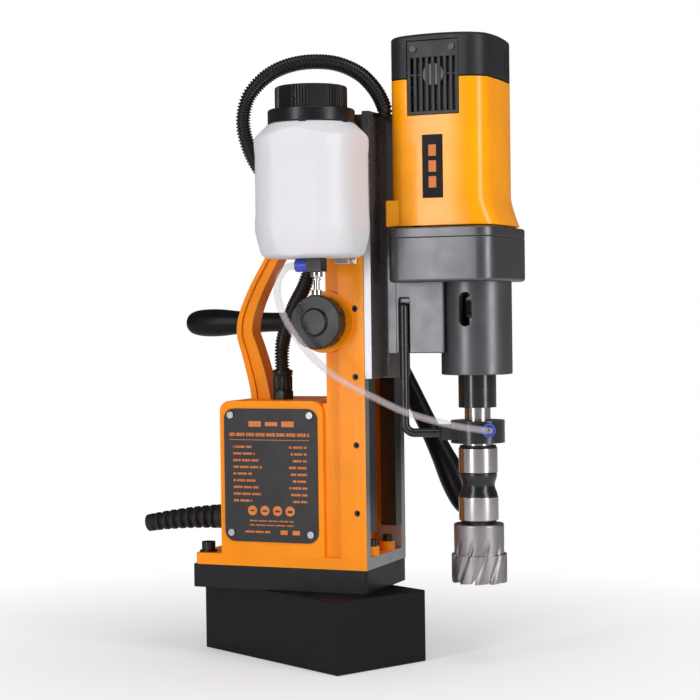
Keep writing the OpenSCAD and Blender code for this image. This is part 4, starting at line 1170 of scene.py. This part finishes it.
def floor_and_light():
    bm = bmesh.new()
    bmesh.ops.create_grid(bm, x_segments=1, y_segments=1, size=6.0)
    mesh = bpy.data.meshes.new("floor")
    bm.to_mesh(mesh)
    bm.free()
    floor = bpy.data.objects.new("floor", mesh)
    floor.location = (0, 0, -0.0004)
    bpy.context.scene.collection.objects.link(floor)
    s = Shader("floor_white").colour((0.93, 0.93, 0.935), 0.004, 2.0).set(Roughness=0.7)
    fade_to_white(s)
    mesh.materials.append(s.mat)

    world = bpy.data.worlds.new("studio")
    bpy.context.scene.world = world
    world.use_nodes = True
    nodes, links = world.node_tree.nodes, world.node_tree.links
    rays = nodes.new("ShaderNodeLightPath").outputs

    def glow(strength):
        node = nodes.new("ShaderNodeBackground")
        node.inputs["Color"].default_value = WHITE
        node.inputs["Strength"].default_value = strength
        return node.outputs[0]

    def pick(ray, otherwise, chosen):
        """Rays of one kind see chosen, the others see otherwise."""
        node = nodes.new("ShaderNodeMixShader")
        for k, socket in enumerate((rays[ray], otherwise, chosen)):
            links.new(socket, node.inputs[k])
        return node.outputs[0]

    soft = pick("Is Glossy Ray", glow(0.42), glow(0.10))
    links.new(pick("Is Camera Ray", soft, glow(1.0)), nodes["World Output"].inputs["Surface"])


CAMERA_AZIMUTH = -67.665
CAMERA_PITCH = 1.112
CAMERA_ROLL = -0.758
CAMERA_PLACE = vmm(-1581.4, -696.5, 318.7)
CAMERA_LENS = 94.41


def camera_axes():
    a, e, r = (math.radians(v) for v in (CAMERA_AZIMUTH, CAMERA_PITCH, CAMERA_ROLL))
    ahead = Vector((-math.sin(a), math.cos(a), 0))
    right = Vector((math.cos(a), math.sin(a), 0))
    forward = ahead * math.cos(e) - Vector((0, 0, math.sin(e)))
    up = Vector((0, 0, math.cos(e))) + ahead * math.sin(e)
    return right * math.cos(r) + up * math.sin(r), up * math.cos(r) - right * math.sin(r), forward


def softbox(name, angle, distance, height, width, tall, power):
    """A tall light at an angle to the right of the camera, aimed at the drill."""
    a = math.radians(angle)
    right, _, forward = camera_axes()
    way = (-forward * math.cos(a) + right * math.sin(a)) * Vector((1, 1, 0))
    target = Vector((0, -0.08, 0.3))
    light = bpy.data.lights.new(name, "AREA")
    light.shape = "RECTANGLE"
    light.size, light.size_y = width, tall
    light.energy = power
    obj = bpy.data.objects.new(name, light)
    obj.location = target + way.normalized() * distance + Vector((0, 0, height))
    obj.rotation_mode = "QUATERNION"
    obj.rotation_quaternion = (target - obj.location).to_track_quat("-Z", "Y")
    bpy.context.scene.collection.objects.link(obj)


def camera():
    right, up, forward = camera_axes()
    data = bpy.data.cameras.new("camera")
    data.sensor_width = 36.0
    data.lens = CAMERA_LENS
    data.clip_end = 30.0
    obj = bpy.data.objects.new("camera", data)
    obj.matrix_world = Matrix(
        (
            (right.x, up.x, -forward.x, CAMERA_PLACE.x),
            (right.y, up.y, -forward.y, CAMERA_PLACE.y),
            (right.z, up.z, -forward.z, CAMERA_PLACE.z),
            (0, 0, 0, 1),
        )
    )
    bpy.context.scene.collection.objects.link(obj)
    bpy.context.scene.camera = obj


column_pieces()
print_marks()
cord_boot()
bottle_pieces()
flexible_lines()
motor_pieces()
gearbox_pieces()
spindle_pieces()
feed_pieces()
inner_materials()
floor_and_light()
softbox("key_left", -40, 1.9, 0.5, 0.40, 1.7, 17)
softbox("key_right", 47, 1.9, 0.5, 0.5, 1.7, 19)
softbox("overhead", 10, 0.7, 1.7, 1.0, 1.0, 7)
camera()
bpy.context.scene.view_settings.view_transform = "Standard"
